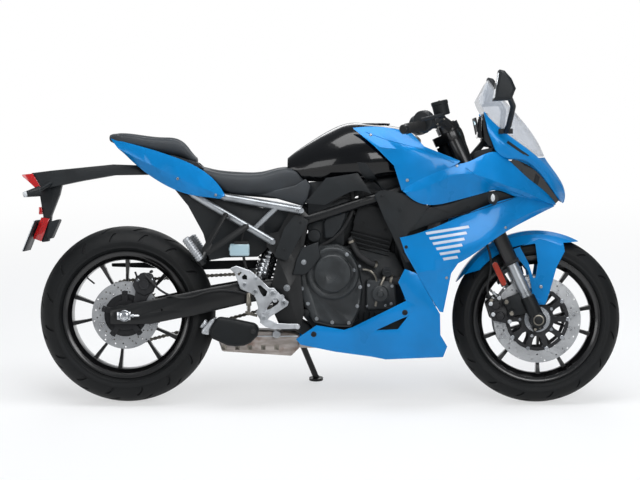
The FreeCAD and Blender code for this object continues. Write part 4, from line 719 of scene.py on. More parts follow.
class Head(Enum):
    """The kinds of screw head, each modelled 10 mm in radius along +Z with its seat at Z 0."""

    CAP = "cap"
    BUTTON = "button"
    FLANGE = "flange"
    RIVET = "rivet"

    def make(self) -> Work:
        """Models the head."""
        if self is Head.FLANGE:
            rim = Work.rod((0, 0, -3), (0, 0, 1.8), 13, 24).bevel(0.5, 1)
            return joined([rim, Work.rod((0, 0, 1.5), (0, 0, 8.5), 9, 6).bevel(1.0, 1)])
        if self is Head.RIVET:
            flat = Work.rod((0, 0, -3), (0, 0, 2.4), 10, 24).bevel(0.9, 2)
            flat.inset(facing(0, 0, 1), 4.2, 0.0)
            return flat.inset(lambda centre, normal: normal.z > 0.9 and centre.length < 6, 0.4, -0.9)
        top = 8.0 if self is Head.CAP else 4.6
        body = Work.rod((0, 0, -3), (0, 0, top), 10, 24, 10.0 if self is Head.CAP else 7.6)
        body.bevel(1.1 if self is Head.CAP else 2.2, 3, 30)
        return body.cut(Work.rod((0, 0, top - 4.2), (0, 0, top + 2), 5.2, 6))


@dataclass
class Bench:
    """What every sub-assembly needs: the frames, the finishes and the solids."""

    stance: Stance
    kit: Finishes
    nodes: dict[str, bpy.types.Object]

    def finish(self, work: Work, name: str, body: Body, finish: str, where: Matrix | None = None,
               smooth: float = 32.0, replaces: Sequence[str] = ()) -> bpy.types.Object:
        """Finishes a piece, in the bike's own frame unless another is given."""
        return work.finish(name, body, finish, where or self.stance.bike, self.kit, smooth, replaces)

    def frame(self, body: Body) -> Matrix:
        """The frame that a body's pieces are modelled in."""
        frames = {Body.FORK: self.stance.fork, Body.FRONT_WHEEL: self.stance.front_wheel,
                  Body.REAR_WHEEL: self.stance.rear_wheel}
        return frames.get(body, self.stance.bike)

    def solids(self, names: Sequence[str], where: Matrix) -> list[BVHTree]:
        """Search trees of some solids, in a frame's millimetres."""
        trees = []
        for name in names:
            source = self.nodes[name]
            turn = where.inverted() @ source.matrix_world
            points = [turn @ vertex.co for vertex in source.data.vertices]
            trees.append(BVHTree.FromPolygons(points,
                                              [tuple(face.vertices) for face in source.data.polygons]))
        return trees

    @staticmethod
    def landing(trees: Sequence[BVHTree], start: Vector, way: Vector) -> tuple[Vector, Vector] | None:
        """Where a straight line first meets some solids.

        Args:
            trees: The solids' search trees.
            start: Where the line starts.
            way: Its direction.

        Returns:
            The place and the solid's normal there, or nothing if it misses them.
        """
        hits = [tree.ray_cast(start, way) for tree in trees]
        found = [(hit[3], hit[0], hit[1]) for hit in hits if hit[0] is not None]
        if not found:
            return None
        _, place, normal = min(found, key=lambda item: item[0])
        return place, normal

    def screws(self, name: str, head: Head, nodes: Sequence[str], spots: Spots, side: int, body: Body,
               finish: str) -> None:
        """Sets screw heads on some solids, seen from one side.

        Args:
            name: The joined piece's name.
            head: The kind of head.
            nodes: The solids that carry them.
            spots: The (X, Z, radius) of each.
            side: -1 for the right side and 1 for the left.
            body: The body that they ride on.
            finish: Their finish.
        """
        where = self.frame(body)
        trees = self.solids(nodes, where)
        master = head.make()
        heads = []
        for x, z, radius in spots:
            found = self.landing(trees, Vector((x, side * OUTSIDE, z)), Vector((0, -side, 0)))
            if found is None:
                log.warning("%s: nothing under %s", name, (x, z))
                continue
            place, normal = found
            turn = normal.to_track_quat("Z", "Y").to_matrix().to_4x4()
            heads.append(master.twin(Matrix.Translation(place) @ turn @ Matrix.Scale(radius / 10, 4)))
        bpy.data.objects.remove(master.object)
        if heads:
            self.finish(joined(heads), name, body, finish, where, 30)

    def drawn(self, trees: Sequence[BVHTree], points: Line, side: int, lift: float,
              step: float = 7.0) -> list[Vector]:
        """Points along a side-view line of (X, Z) corners, laid on some solids.

        Args:
            trees: The solids' search trees.
            points: The line's corners.
            side: -1 for the right side and 1 for the left.
            lift: How far above the surface the points lie.
            step: The distance between two points.

        Returns:
            The points that found a surface.
        """
        found = []
        for (x, z), (far_x, far_z) in zip(points, points[1:]):
            count = max(1, round(math.hypot(far_x - x, far_z - z) / step))
            for i in range(count + 1):
                share = i / count
                start = Vector((x + (far_x - x) * share, side * OUTSIDE, z + (far_z - z) * share))
                hit = self.landing(trees, start, Vector((0, -side, 0)))
                if hit is not None and (not found or (hit[0] - found[-1]).length > 0.5):
                    found.append(hit[0] + hit[1] * lift)
        return found

    def seam(self, nodes: Sequence[str], points: Line, side: int, body: Body,
             radius: float = 1.2, lift: float = -0.5) -> Work:
        """A thin line that hugs some solids, such as a seam, a bead or a gap's shadow."""
        trees = self.solids(nodes, self.frame(body))
        return Work.hose(self.drawn(trees, points, side, lift), radius, 8)

    def patch(self, nodes: Sequence[str], upper: Line, lower: Line,
              side: int, body: Body, lift: float = 0.6, rows: int = 6, columns: int = 24) -> Work:
        """A thin cover laid on some solids between two side-view lines.

        Args:
            nodes: The solids that it lies on.
            upper: The (X, Z) corners of its upper edge, from back to front.
            lower: The corners of its lower edge, from back to front.
            side: -1 for the right side and 1 for the left.
            body: The body that the solids belong to.
            lift: How far it stands above them.
            rows: The steps between the two edges.
            columns: The steps along them.

        Returns:
            The cover, with a small thickness.
        """
        def along(line: Line, share: float) -> Vector:
            """The point at a share of a line's length."""
            runs = [math.dist(a, b) for a, b in zip(line, line[1:])]
            left = share * sum(runs)
            for (a, b), run in zip(zip(line, line[1:]), runs):
                if left <= run:
                    return Vector(a).lerp(Vector(b), left / run)
                left -= run
            return Vector(line[-1])

        trees = self.solids(nodes, self.frame(body))
        grid = []
        for i in range(rows + 1):
            row = []
            for j in range(columns + 1):
                at = along(upper, j / columns).lerp(along(lower, j / columns), i / rows)
                hit = self.landing(trees, Vector((at.x, side * OUTSIDE, at.y)), Vector((0, -side, 0)))
                row.append(hit[0] + hit[1] * lift if hit else (row[-1] if row else Vector((at.x, 0, at.y))))
            grid.append(row)
        work = Work.sheet(grid)
        with work.editing() as mesh:
            bpy.ops.mesh.select_all(action="SELECT")
            if sum(item.normal.y * side for item in mesh.faces) < 0:
                bpy.ops.mesh.flip_normals()
        return work.modify("SOLIDIFY", thickness=lift + 0.6, offset=-1.0)

    def copy(self, node: str) -> Work:
        """A merged copy of a solid's mesh, in the bike's millimetres."""
        source = self.nodes[node]
        made = source.copy()
        made.data = source.data.copy()
        made.parent = None
        for key in [key for key in made.keys() if key.startswith("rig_")]:
            del made[key]
        bpy.context.scene.collection.objects.link(made)
        work = Work(made).move(self.stance.bike.inverted())
        with work.editing("VERT"):
            bpy.ops.mesh.select_all(action="SELECT")
            bpy.ops.mesh.remove_doubles(threshold=0.02)
            bpy.ops.mesh.dissolve_limited(angle_limit=math.radians(1.2))
            bpy.ops.mesh.customdata_custom_splitnormals_clear()
        return work

    def skin(self, node: str, finish: str, body: Body, bevel: float = 1.2,
             smooth: float = 34.0) -> bpy.types.Object:
        """A smooth copy of a solid with softened edges, which stands for it.

        Args:
            node: The solid's name.
            finish: The finish of the copy.
            body: The body that it rides on.
            bevel: The radius of its edges in millimetres; none if 0.
            smooth: Edges flatter than this many degrees are shaded smooth.

        Returns:
            The copy.
        """
        work = self.copy(node)
        if bevel:
            work.bevel(bevel, 2, 40.0)
        return self.finish(work, f"{node}_skin", body, finish, None, smooth, [node])


@dataclass
class Dressing:
    """The solids whose own shape is right, as softened copies: the bevel of each, under its finish."""

    bench: Bench
    chassis: dict[str, dict[str, float]] = field(default_factory=lambda: {
        "blue_gloss": dict(tail_cowl=1.2, tank_covers=1.2, upper_fairings=1.2, lower_fairings=1.2,
                           belly_cowls=1.2, nose_cowl=1.2),
        "black_gloss": dict(fuel_tank=2.0),
        "moulded_plastic": dict(inner_panels=1.0, frame_covers=1.5, undertray=2.0, tail_boom=1.5,
                                plate_holder=1.2, instrument_stay=1.0, chain_guard=0.8, mirrors=2.0,
                                air_box=1.5, turn_signals=1.0),
        "frame_enamel": dict(main_frame=1.2, swingarm=3.0, passenger_rests=1.0),
        "silver_tube": dict(subframe=0.0),
        "cast_silver": dict(foot_controls=1.0),
        "cast_dark": dict(crankcase=2.0, left_covers=2.0),
        "cover_paint": dict(clutch_cover=2.0),
        "cast_grey": dict(cylinders=2.0),
        "hot_steel": dict(exhaust_pipes=0.0, exhaust_chamber=2.0),
        "bright_steel": dict(shock_absorber=1.0),
        "radiator_core": dict(radiator=1.0),
        "clear_screen": dict(windscreen=0.0),
        "smoked_lens": dict(headlamps=0.8),
        "red_lens": dict(tail_lamp=1.0),
        "display_glass": dict(instrument_panel=1.0),
        "plate_enamel": dict(number_plate=0.4),
    })
    fork: dict[str, dict[str, float]] = field(default_factory=lambda: {
        "fork_black": dict(yokes=1.5, fork_tubes=1.0, handlebars=1.0),
        "cast_dark": dict(front_axle=0.8),
        "caliper_dark": dict(front_calipers=2.0),
        "rubber": dict(grips=1.5),
        "moulded_plastic": dict(bar_controls=1.2),
    })

    def build(self) -> None:
        """Dresses every solid that no other class replaces."""
        for groups, body in ((self.chassis, Body.CHASSIS), (self.fork, Body.FORK)):
            for finish, nodes in groups.items():
                for node, bevel in nodes.items():
                    self.bench.skin(node, finish, body, bevel)
        self.bench.skin("side_stand", "frame_enamel", Body.STAND, 1.0)
        self.bench.skin("fuel_cap", "black_gloss", Body.CAP, 1.0)


@dataclass
class Dresser:
    """What dresses one body of the bike with pieces that ride on it."""

    bench: Bench
    body: ClassVar[Body] = Body.CHASSIS

    def add(self, parts: Work | Sequence[Work], name: str, finish: str, smooth: float = 32.0,
            replaces: Sequence[str] = ()) -> bpy.types.Object:
        """Makes one piece of some parts that were modelled in the body's own frame.

        Args:
            parts: The parts, or a single one.
            name: The piece's name.
            finish: The name of its finish.
            smooth: Edges flatter than this many degrees are shaded smooth.
            replaces: The solids that it stands for.

        Returns:
            The finished piece.
        """
        work = parts if isinstance(parts, Work) else joined(parts)
        return self.bench.finish(work, name, self.body, finish, self.bench.frame(self.body), smooth, replaces)


def around(count: int, start: float = 0.0) -> list[float]:
    """Evenly spaced angles of a full turn, in radians.

    Args:
        count: How many.
        start: The first one, in degrees.

    Returns:
        The angles.
    """
    return [math.radians(start) + math.tau * i / count for i in range(count)]


def spun(angle: float) -> Matrix:
    """A turn about the axle that takes +X towards +Z by an angle in radians."""
    return Matrix.Rotation(-angle, 4, "Y")


@dataclass
class Wheel:
    """A cast wheel with its tyre, turned about its own axle."""

    bench: Bench
    name: str
    body: Body
    radius: float
    half: float
    bead_half: float
    hub: float
    hub_half: float
    bore: float
    spoke_turn: float
    pitches: int
    bead: float = 216.0
    flange: float = 11.0
    spoke_pairs: int = 5
    spoke_spread: float = 28.0
    groove_depth: float = 4.5
    wall: float = 9.0

    @property
    def where(self) -> Matrix:
        """The wheel's own frame."""
        return self.bench.frame(self.body)

    def build(self) -> None:
        """Builds the tyre and the rim."""
        self.tyre()
        self.rim()

    def tread_rows(self) -> list[float]:
        """The crown angles of the tread's rows, with close pairs where grooves begin and end."""
        marks = (13.0, 33.0, 41.0, 63.0)
        rows = {0.0, 5.0, 22.0, 28.0, 48.0, 55.0, 70.0, 76.0}
        for mark in marks:
            rows |= {mark - 0.7, mark + 0.7}
        return sorted(rows)

    def groove(self, along: float, angle: float) -> float:
        """How deep the tread is cut at a place.

        Args:
            along: The share of one pitch of the pattern, from 0 to 1.
            angle: The crown angle in degrees.

        Returns:
            The depth in millimetres.
        """
        first = 0.15 < along < 0.24 and 13.0 < angle < 33.0
        second = 0.63 < along < 0.71 and 41.0 < angle < 63.0
        return self.groove_depth if first or second else 0.0

    def tyre(self) -> None:
        """Shapes a ring into the tyre and cuts slanted grooves along its own rows."""
        columns = (0.0, 0.14, 0.16, 0.23, 0.25, 0.44, 0.62, 0.64, 0.70, 0.72, 0.88)
        rows = self.tread_rows()
        centre = self.radius - self.half
        profile = [(centre, self.half, -a) for a in reversed(rows)] + [(centre, self.half, a)
                                                                       for a in rows[1:]]
        side = [(self.bead + 44, self.half - 0.2), (self.bead + 36, self.half - 0.4),
                (self.bead + 34, self.half - 1.6), (self.bead + 26, self.half - 3.0),
                (self.bead + 24, self.half - 2.2),
                (self.bead + 17, self.bead_half + (self.half - self.bead_half) * 0.6),
                (self.bead + 11.8, self.bead_half - 0.6), (self.bead + 0.2, self.bead_half - 1.6),
                (self.bead + 0.2, self.bead_half - 10), (self.bead + 16, self.bead_half - 4),
                (self.bead + 30, self.half - self.wall),]
        rings = []
        for i in range(len(columns) * self.pitches + 1):
            pitch, column = divmod(i, len(columns))
            places = []
            for _, _, angle in profile:
                depth = self.half - self.groove(columns[column], abs(angle))
                share = math.radians(angle)
                slant = 0.9 * math.sin(math.radians(min(abs(angle), 70.0)) * 1.2)
                places.append((centre + depth * math.cos(share), depth * math.sin(share), slant))
            places += [(radius, y, 0.9) for radius, y in side]
            for angle in (70.0, 30.0, -30.0, -70.0):
                share = math.radians(angle)
                depth = self.half - self.wall
                places.append((centre + depth * math.cos(share), depth * math.sin(share), 0.9))
            places += [(radius, -y, 0.9) for radius, y in reversed(side)]
            ring = []
            for radius, y, slant in [*places, places[0]]:
                turn = math.tau * (pitch + columns[column] + slant) / self.pitches
                ring.append((radius * math.cos(turn), y, radius * math.sin(turn)))
            rings.append(ring)
        work = Work.sheet(rings)
        with work.editing("VERT"):
            bpy.ops.mesh.select_all(action="SELECT")
            bpy.ops.mesh.remove_doubles(threshold=0.01)
            bpy.ops.mesh.normals_make_consistent(inside=False)
        self.bench.finish(work, f"{self.name}_tyre_tread", self.body, "tyre_rubber", self.where, 40.0,
                          [f"{self.name}_tyre"])

    def spoke(self, angle: float, lean: float) -> Work:
        """One slim spoke: a bar drawn from hub to barrel and rounded.

        Args:
            angle: The direction of its outer end, in radians.
            lean: Which way its root steps aside, +1 or -1.

        Returns:
            The spoke.
        """
        reach = self.bead - 17.0
        root = self.hub - 9.0
        width, deep = 6.2, min(17.0, self.hub_half * 0.3)
        work = Work.box((root, -deep * 1.5, -width * 1.3), (reach, deep * 1.5, width * 1.3))
        with work.editing():
            bpy.ops.mesh.select_all(action="SELECT")
            bpy.ops.mesh.subdivide(number_cuts=5)
        for vertex in work.object.data.vertices:
            share = (vertex.co.x - root) / (reach - root)
            slim = 1.0 - 0.42 * math.sin(math.pi * min(1.0, 0.15 + share * 0.85))
            vertex.co.z = vertex.co.z * slim + lean * 9.0 * (1 - share) ** 2
            vertex.co.y *= 0.62 + 0.38 * (2 * share - 1) ** 2
        work.bevel(2.4, 3, 50.0)
        return work.move(spun(angle))

    def rim(self) -> None:
        """Turns the barrel and hub and sets five pairs of spokes between them."""
        half, bead = self.bead_half, self.bead
        barrel = Work.turned([(bead + self.flange, -half - 1.0), (bead + self.flange - 1.5, -half + 0.2),
                              (bead + 2.5, -half + 0.8), (bead, -half + 3.0), (bead, -half + 14),
                              (bead - 11, -half + 22), (bead - 12, -half + 27), (bead - 12, half - 27),
                              (bead - 11, half - 22), (bead, half - 14), (bead, half - 3.0),
                              (bead + 2.5, half - 0.8), (bead + self.flange - 1.5, half - 0.2),
                              (bead + self.flange, half + 1.0), (bead + self.flange - 1.0, half + 3.6),
                              (bead + self.flange - 5.0, half + 4.0), (bead + 1.0, half + 2.0),
                              (bead - 6.0, half - 2.0), (bead - 8.5, half - 12), (bead - 19.5, half - 25),
                              (bead - 22, half * 0.3), (bead - 22, -half * 0.3), (bead - 19.5, -half + 25),
                              (bead - 8.5, -half + 12), (bead - 6.0, -half + 2.0), (bead + 1.0, -half - 2.0),
                              (bead + self.flange - 5.0, -half - 4.0),
                              (bead + self.flange - 1.0, -half - 3.6)], 120)
        hub = Work.turned([(self.bore, -self.hub_half), (self.hub - 3, -self.hub_half),
                           (self.hub, -self.hub_half + 3), (self.hub, -self.hub_half * 0.55),
                           (self.hub - 8, -self.hub_half * 0.4), (self.hub - 8, self.hub_half * 0.4),
                           (self.hub, self.hub_half * 0.55), (self.hub, self.hub_half - 3),
                           (self.hub - 3, self.hub_half), (self.bore, self.hub_half)], 64)
        spokes = []
        for middle in around(self.spoke_pairs, self.spoke_turn):
            for side in (-1, 1):
                turn = middle + math.radians(side * self.spoke_spread / 2)
                spokes.append(self.spoke(turn, -side))
        valve = Work.rod((bead - 20, half - 30, 0), (bead - 52, half - 22, 0), 3.2, 10)
        valve.move(spun(math.radians(self.spoke_turn + 36)))
        self.bench.finish(joined([barrel, hub, *spokes, valve]), f"{self.name}_rim_cast", self.body,
                          "rim_black", self.where, 30.0, [f"{self.name}_rim"])


@dataclass
class Brakes:
    """The drilled discs with their carriers, buttons and sensor rings."""

    bench: Bench
    half_thick: float = 2.2
    hole: float = 3.0
    front_place: float = 66.0
    front_inner: float = 113.0
    front_outer: float = 155.0
    rear_place: float = -97.0
    rear_inner: float = 76.0
    rear_outer: float = 120.0

    def build(self) -> None:
        """Builds the discs of both wheels."""
        stance = self.bench.stance
        for side, hand in HANDS.items():
            ring, carrier, buttons = self.floating_disc(side)
            self.bench.finish(ring, f"front_disc_ring_{hand}", Body.FRONT_WHEEL, "front_wheel_disc",
                              stance.front_wheel, 30.0, ["front_discs"])
            self.bench.finish(carrier, f"front_disc_carrier_{hand}", Body.FRONT_WHEEL, "caliper_dark",
                              stance.front_wheel)
            self.bench.finish(buttons, f"front_disc_buttons_{hand}", Body.FRONT_WHEEL, "bright_steel",
                              stance.front_wheel)
        self.rear()

    def holes(self, inner: float, outer: float, y: float, count: int) -> Work:
        """A ring of drills in slanted rows of three.

        Args:
            inner: The radius of the innermost hole.
            outer: The radius of the outermost hole.
            y: The middle of the disc.
            count: How many rows.

        Returns:
            The drills.
        """
        drill = Work.rod((0, y - 8, 0), (0, y + 8, 0), self.hole, 10)
        drills = [drill]
        for i, turn in enumerate(around(count)):
            for j in range(3):
                radius = inner + (outer - inner) * ((j + (i % 2) * 0.5) / 2.5)
                angle = turn + 0.09 * j
                drills.append(drill.twin(Matrix.Translation((radius * math.cos(angle),
                                                             0, radius * math.sin(angle)))))
        # The first drill goes aside, where it cuts nothing
        drill.move(Matrix.Translation((0, 400, 0)))
        return joined(drills)

    def floating_disc(self, side: int) -> tuple[Work, Work, Work]:
        """A front disc with its carrier.

        Args:
            side: -1 for the right, +1 for the left.

        Returns:
            The ring, the carrier, and the buttons and bolts.
        """
        y, thick = side * self.front_place, self.half_thick
        ring = Work.turned([(self.front_inner, y - thick), (self.front_outer, y - thick),
                            (self.front_outer, y + thick), (self.front_inner, y + thick)], 120)
        ring.cut(self.holes(self.front_inner + 7, self.front_outer - 6, y, 20))
        carrier = Work.turned([(30, side * 58.2), (50, side * 58.2), (78, side * 60.5),
                               (111.5, y - side * thick), (111.5, y + side * thick), (76, side * 68.0),
                               (50, side * 65.0),
                               (30, side * 63.0)], 80)
        windows = []
        for turn in around(10, 18):
            outline = [(60, -7), (74, -15), (99, -21), (99, 21), (74, 15), (60, 7)]
            window = Work.plate(outline, -80 if side < 0 else 50, -50 if side < 0 else 80)
            windows.append(window.bevel(3.0, 2, 60.0).move(spun(turn)))
        carrier.cut(joined(windows)).bevel(0.7, 1, 50.0)
        knobs = []
        for turn in around(10):
            at = Vector((109 * math.cos(turn), 0, 109 * math.sin(turn)))
            knobs.append(Work.rod(at + Vector((0, y - side * 2.6, 0)), at + Vector((0, y + side * 4.4, 0)),
                                  7.5, 16))
        for turn in around(5, 36):
            at = Vector((62 * math.cos(turn), side * 64.5, 62 * math.sin(turn)))
            knobs.append(Work.rod(at, at + Vector((0, side * 5.5, 0)), 6.5, 6))
        sensor = Work.turned([(38, side * 68.0), (46, side * 68.0), (46, side * 70.0), (38, side * 70.0)], 60)
        teeth = []
        at = Vector((42.5, side * 69.6, 0))
        tooth = Work.box(at - Vector((3, 1.6, 1.4)), at + Vector((3, 1.6, 1.4)))
        teeth += [tooth.twin(spun(turn)) for turn in around(30, 12)[1:]]
        tooth.move(spun(math.radians(12)))
        teeth.append(tooth)
        stem = Work.turned([(30, side * 62.0), (42, side * 62.0), (42, side * 68.4), (30, side * 68.4)], 40)
        return ring, carrier, joined([*[knob.bevel(0.8, 1) for knob in knobs], sensor, stem, *teeth])

    def rear(self) -> None:
        """The single rear disc on the right and its carrier."""
        y, thick = self.rear_place, self.half_thick
        ring = Work.turned([(self.rear_inner, y - thick), (self.rear_outer, y - thick),
                            (self.rear_outer, y + thick), (self.rear_inner, y + thick)], 110)
        ring.cut(self.holes(self.rear_inner + 8, self.rear_outer - 7, y, 18))
        where = self.bench.stance.rear_wheel
        self.bench.finish(ring, "rear_disc_ring", Body.REAR_WHEEL, "rear_wheel_disc", where, 30.0,
                          ["rear_disc"])
        carrier = Work.turned([(30, -90.2), (58, -90.2), (84, y + thick), (84, y + thick + 3), (60, -88.0),
                               (30, -88.2)], 70)
        parts = [carrier]
        for turn in around(5, 20):
            at = Vector((80 * math.cos(turn), 0, 80 * math.sin(turn)))
            parts.append(Work.rod(at + Vector((0, -94, 0)), at + Vector((0, -103.2, 0)),
                                  7.0, 6).bevel(0.8, 1))
            arm = Work.plate([(40, -9), (86, -12), (89, 0), (86, 12), (40, 9)], -99.4, -90.3).bevel(1.0, 1)
            parts.append(arm.move(spun(turn)))
        sensor = Work.turned([(46, -99.5), (54, -99.5), (54, -101.0), (46, -101.0)], 60)
        parts.append(sensor)
        parts.append(Work.turned([(30, -90.0), (47, -90.0), (47, -100.0), (30, -100.0)], 48))
        self.bench.finish(joined(parts), "rear_disc_carrier", Body.REAR_WHEEL, "caliper_dark", where)


@dataclass
class Drive(Dresser):
    """The roller chain and the driven sprocket."""

    line: float = 104.0
    front: Point = (-75.0, 104.0, 420.0)
    small: float = 41.0
    large: float = 108.0
    pitch: float = 15.875
    pin_height: float = 7.5
    inner_plates: float = 4.6
    outer_plates: float = 6.0
    teeth: int = 44

    def build(self) -> None:
        """Builds the chain round both sprockets, and the toothed wheel."""
        self.chain()
        self.sprocket()

    def track(self) -> tuple[list[Vector], float]:
        """The places of the chain's pins: the upper run, the front wrap, the lower run and the rear wrap.

        Returns:
            The places, and the space between two.
        """
        rear = Vector((REAR_AXLE.x, self.line, REAR_AXLE.z))
        front = Vector(self.front)
        span = front - rear
        along = span.normalized()
        up = Vector((-along.z, 0, along.x))
        small, large = self.small + self.pin_height, self.large + self.pin_height
        tilt = math.asin((large - small) / span.length)
        top = along * math.sin(tilt) + up * math.cos(tilt)
        low = along * math.sin(tilt) - up * math.cos(tilt)
        run = span.length * math.cos(tilt)
        wrap_front, wrap_rear = math.pi - 2 * tilt, math.pi + 2 * tilt
        total = 2 * run + wrap_front * small + wrap_rear * large
        count = round(total / self.pitch / 2) * 2
        step = total / count
        places = []
        for i in range(count):
            way = i * step
            if way < run:
                ahead = front + top * small - rear - top * large
                places.append(rear + top * large + ahead * (way / run))
                continue
            way -= run
            if way < wrap_front * small:
                places.append(front + Matrix.Rotation(way / small, 3, "Y") @ top * small)
                continue
            way -= wrap_front * small
            if way < run:
                back = rear + low * large - front - low * small
                places.append(front + low * small + back * (way / run))
                continue
            way -= run
            places.append(rear + Matrix.Rotation(way / large, 3, "Y") @ low * large)
        return places, step

    def chain(self) -> None:
        """Sets inner and outer links by turns along the track."""
        places, step = self.track()
        links = [self.link(step, self.inner_plates), self.link(step, self.outer_plates)]
        parts = []
        for i, at in enumerate(places):
            after = places[(i + 1) % len(places)]
            ahead = (after - at).normalized()
            turn = Matrix.Rotation(-math.atan2(ahead.z, ahead.x), 4, "Y")
            parts.append(links[i % 2].twin(Matrix.Translation(at) @ turn))
        for link in links:
            bpy.data.objects.remove(link.object)
        self.add(parts, "chain_links", "drive_steel", 30.0, ["drive_chain"])

    def link(self, step: float, offset: float) -> Work:
        """One link: two waisted plates, a pin and a roller.

        Args:
            step: The length from pin to pin.
            offset: How far from the middle its plates stand.

        Returns:
            The link.
        """
        tall, tip = 6.6, 5.6
        outline = [(-tip, 0), (-tip * 0.6, tall), (step * 0.3, tall * 0.66), (step * 0.7, tall * 0.66),
                   (step + tip * 0.6, tall), (step + tip, 0), (step + tip * 0.6, -tall),
                   (step * 0.7, -tall * 0.66), (step * 0.3, -tall * 0.66), (-tip * 0.6, -tall)]
        plates = [Work.plate(outline, -offset - 1.3, -offset), Work.plate(outline, offset, offset + 1.3)]
        pin = Work.rod((0, -7.6, 0), (0, 7.6, 0), 3.2, 8)
        roller = Work.rod((0, -4.4, 0), (0, 4.4, 0), 4.9, 8)
        return joined([*plates, pin, roller])

    def sprocket(self) -> None:
        """A toothed wheel with five windows."""
        root, tip = self.large - 3.5, self.large + 4.5
        outline = []
        for turn in around(self.teeth):
            for share, radius in ((0.0, root), (0.26, root), (0.46, tip), (0.56, tip), (0.76, root)):
                angle = turn + share * math.tau / self.teeth
                outline.append((radius * math.cos(angle), radius * math.sin(angle)))
        wheel = Work.plate(outline, self.line - 3.6, self.line + 3.6)
        near, far, inner = self.line - 12, self.line + 12, self.line - 3.5
        cutters = [Work.rod((0, near, 0), (0, far, 0), 31, 48)]
        for turn in around(5):
            window = Work.plate([(66, -17), (90, -24), (90, 24), (66, 17)], near, far)
            cutters.append(window.bevel(5.0, 2, 60.0).move(spun(turn)))
        wheel.cut(joined(cutters))
        parts = [wheel, Work.turned([(31, 90.2), (57, 90.2), (57, inner), (31, inner)], 48)]
        for turn in around(5, 36):
            at = Vector((66 * math.cos(turn), self.line + 3.5, 66 * math.sin(turn)))
            parts.append(Work.rod(at, at + Vector((0, 3.5, 0)), 8.0, 6).bevel(0.8, 1))
        self.bench.finish(joined(parts), "rear_sprocket_teeth", Body.REAR_WHEEL, "drive_steel",
                          self.bench.stance.rear_wheel, 30.0, ["rear_sprocket"])


@dataclass
class FootControls(Dresser):
    """The bolts of the footrest hangers and the rear brake's own cylinder."""

    right: Spots = ((-307, 427, 5.5), (-269, 402, 6.5), (-267, 448, 5.0), (-207, 396, 8.0), (-168, 362, 8.5),
                    (-236, 312, 7.0))
    left: Spots = ((-267, 448, 5.0), (-207, 396, 8.0), (-168, 362, 8.5), (-226, 350, 6.0))
    cylinder: tuple[float, float] = (-292, -161)
    coils: int = 5
    coil_step: float = 3.6

    def build(self) -> None:
        """Builds both sides."""
        for hand, spots, side in (("right", self.right, -1), ("left", self.left, 1)):
            self.bench.screws(f"hanger_bolts_{hand}", Head.CAP, ("foot_controls",), spots, side, Body.CHASSIS,
                              "screw_steel")
        x, y = self.cylinder
        body = Work.rod((x, y, 352), (x, y, 398), 9.5, 20).bevel(1.5, 2)
        rod = Work.rod((x, y, 330), (x, y, 354), 4.0, 12)
        fork = Work.plate([(-304, 334), (-262, 322), (-262, 312), (-304, 322)], -164, -158).bevel(1.0, 1)
        ring = Work.turned([(5.4, -0.9), (7.2, -0.9), (7.2, 0.9), (5.4, 0.9)], 20)
        flat = Matrix.Rotation(math.pi / 2, 4, "X")
        spring = [ring.twin(Matrix.Translation((x, y, 337.6 + i * self.coil_step)) @ flat)
                  for i in range(self.coils)]
        ring.move(Matrix.Translation((x, y, 334)) @ flat)
        parts = [body, rod, fork, ring, *spring]
        self.add(parts, "rear_brake_cylinder", "drive_steel")


@dataclass
class PassengerPegs(Dresser):
    """The ribbed bars of the passenger's folded pegs."""

    foot: Point = (-456, 164, 506)
    tip: Point = (-514, 176, 590)
    bar_radius: float = 12.2
    ribs: int = 10
    rib_radius: float = 15.3
    rib_step: float = 9.0
    rib_width: float = 5.4

    def build(self) -> None:
        """Builds both pegs."""
        for side, hand in HANDS.items():
            mirror = Vector((1, side, 1))
            foot, tip = Vector(self.foot) * mirror, Vector(self.tip) * mirror
            along = (tip - foot).normalized()
            parts = [Work.rod(foot + along * 10, tip + along, self.bar_radius, 20).bevel(2.0, 2)]
            for i in range(self.ribs):
                at = foot + along * (13.4 + i * self.rib_step)
                parts.append(Work.rod(at, at + along * self.rib_width, self.rib_radius, 20).bevel(1.0, 1))
            self.add(parts, f"passenger_peg_{hand}", "cast_silver")


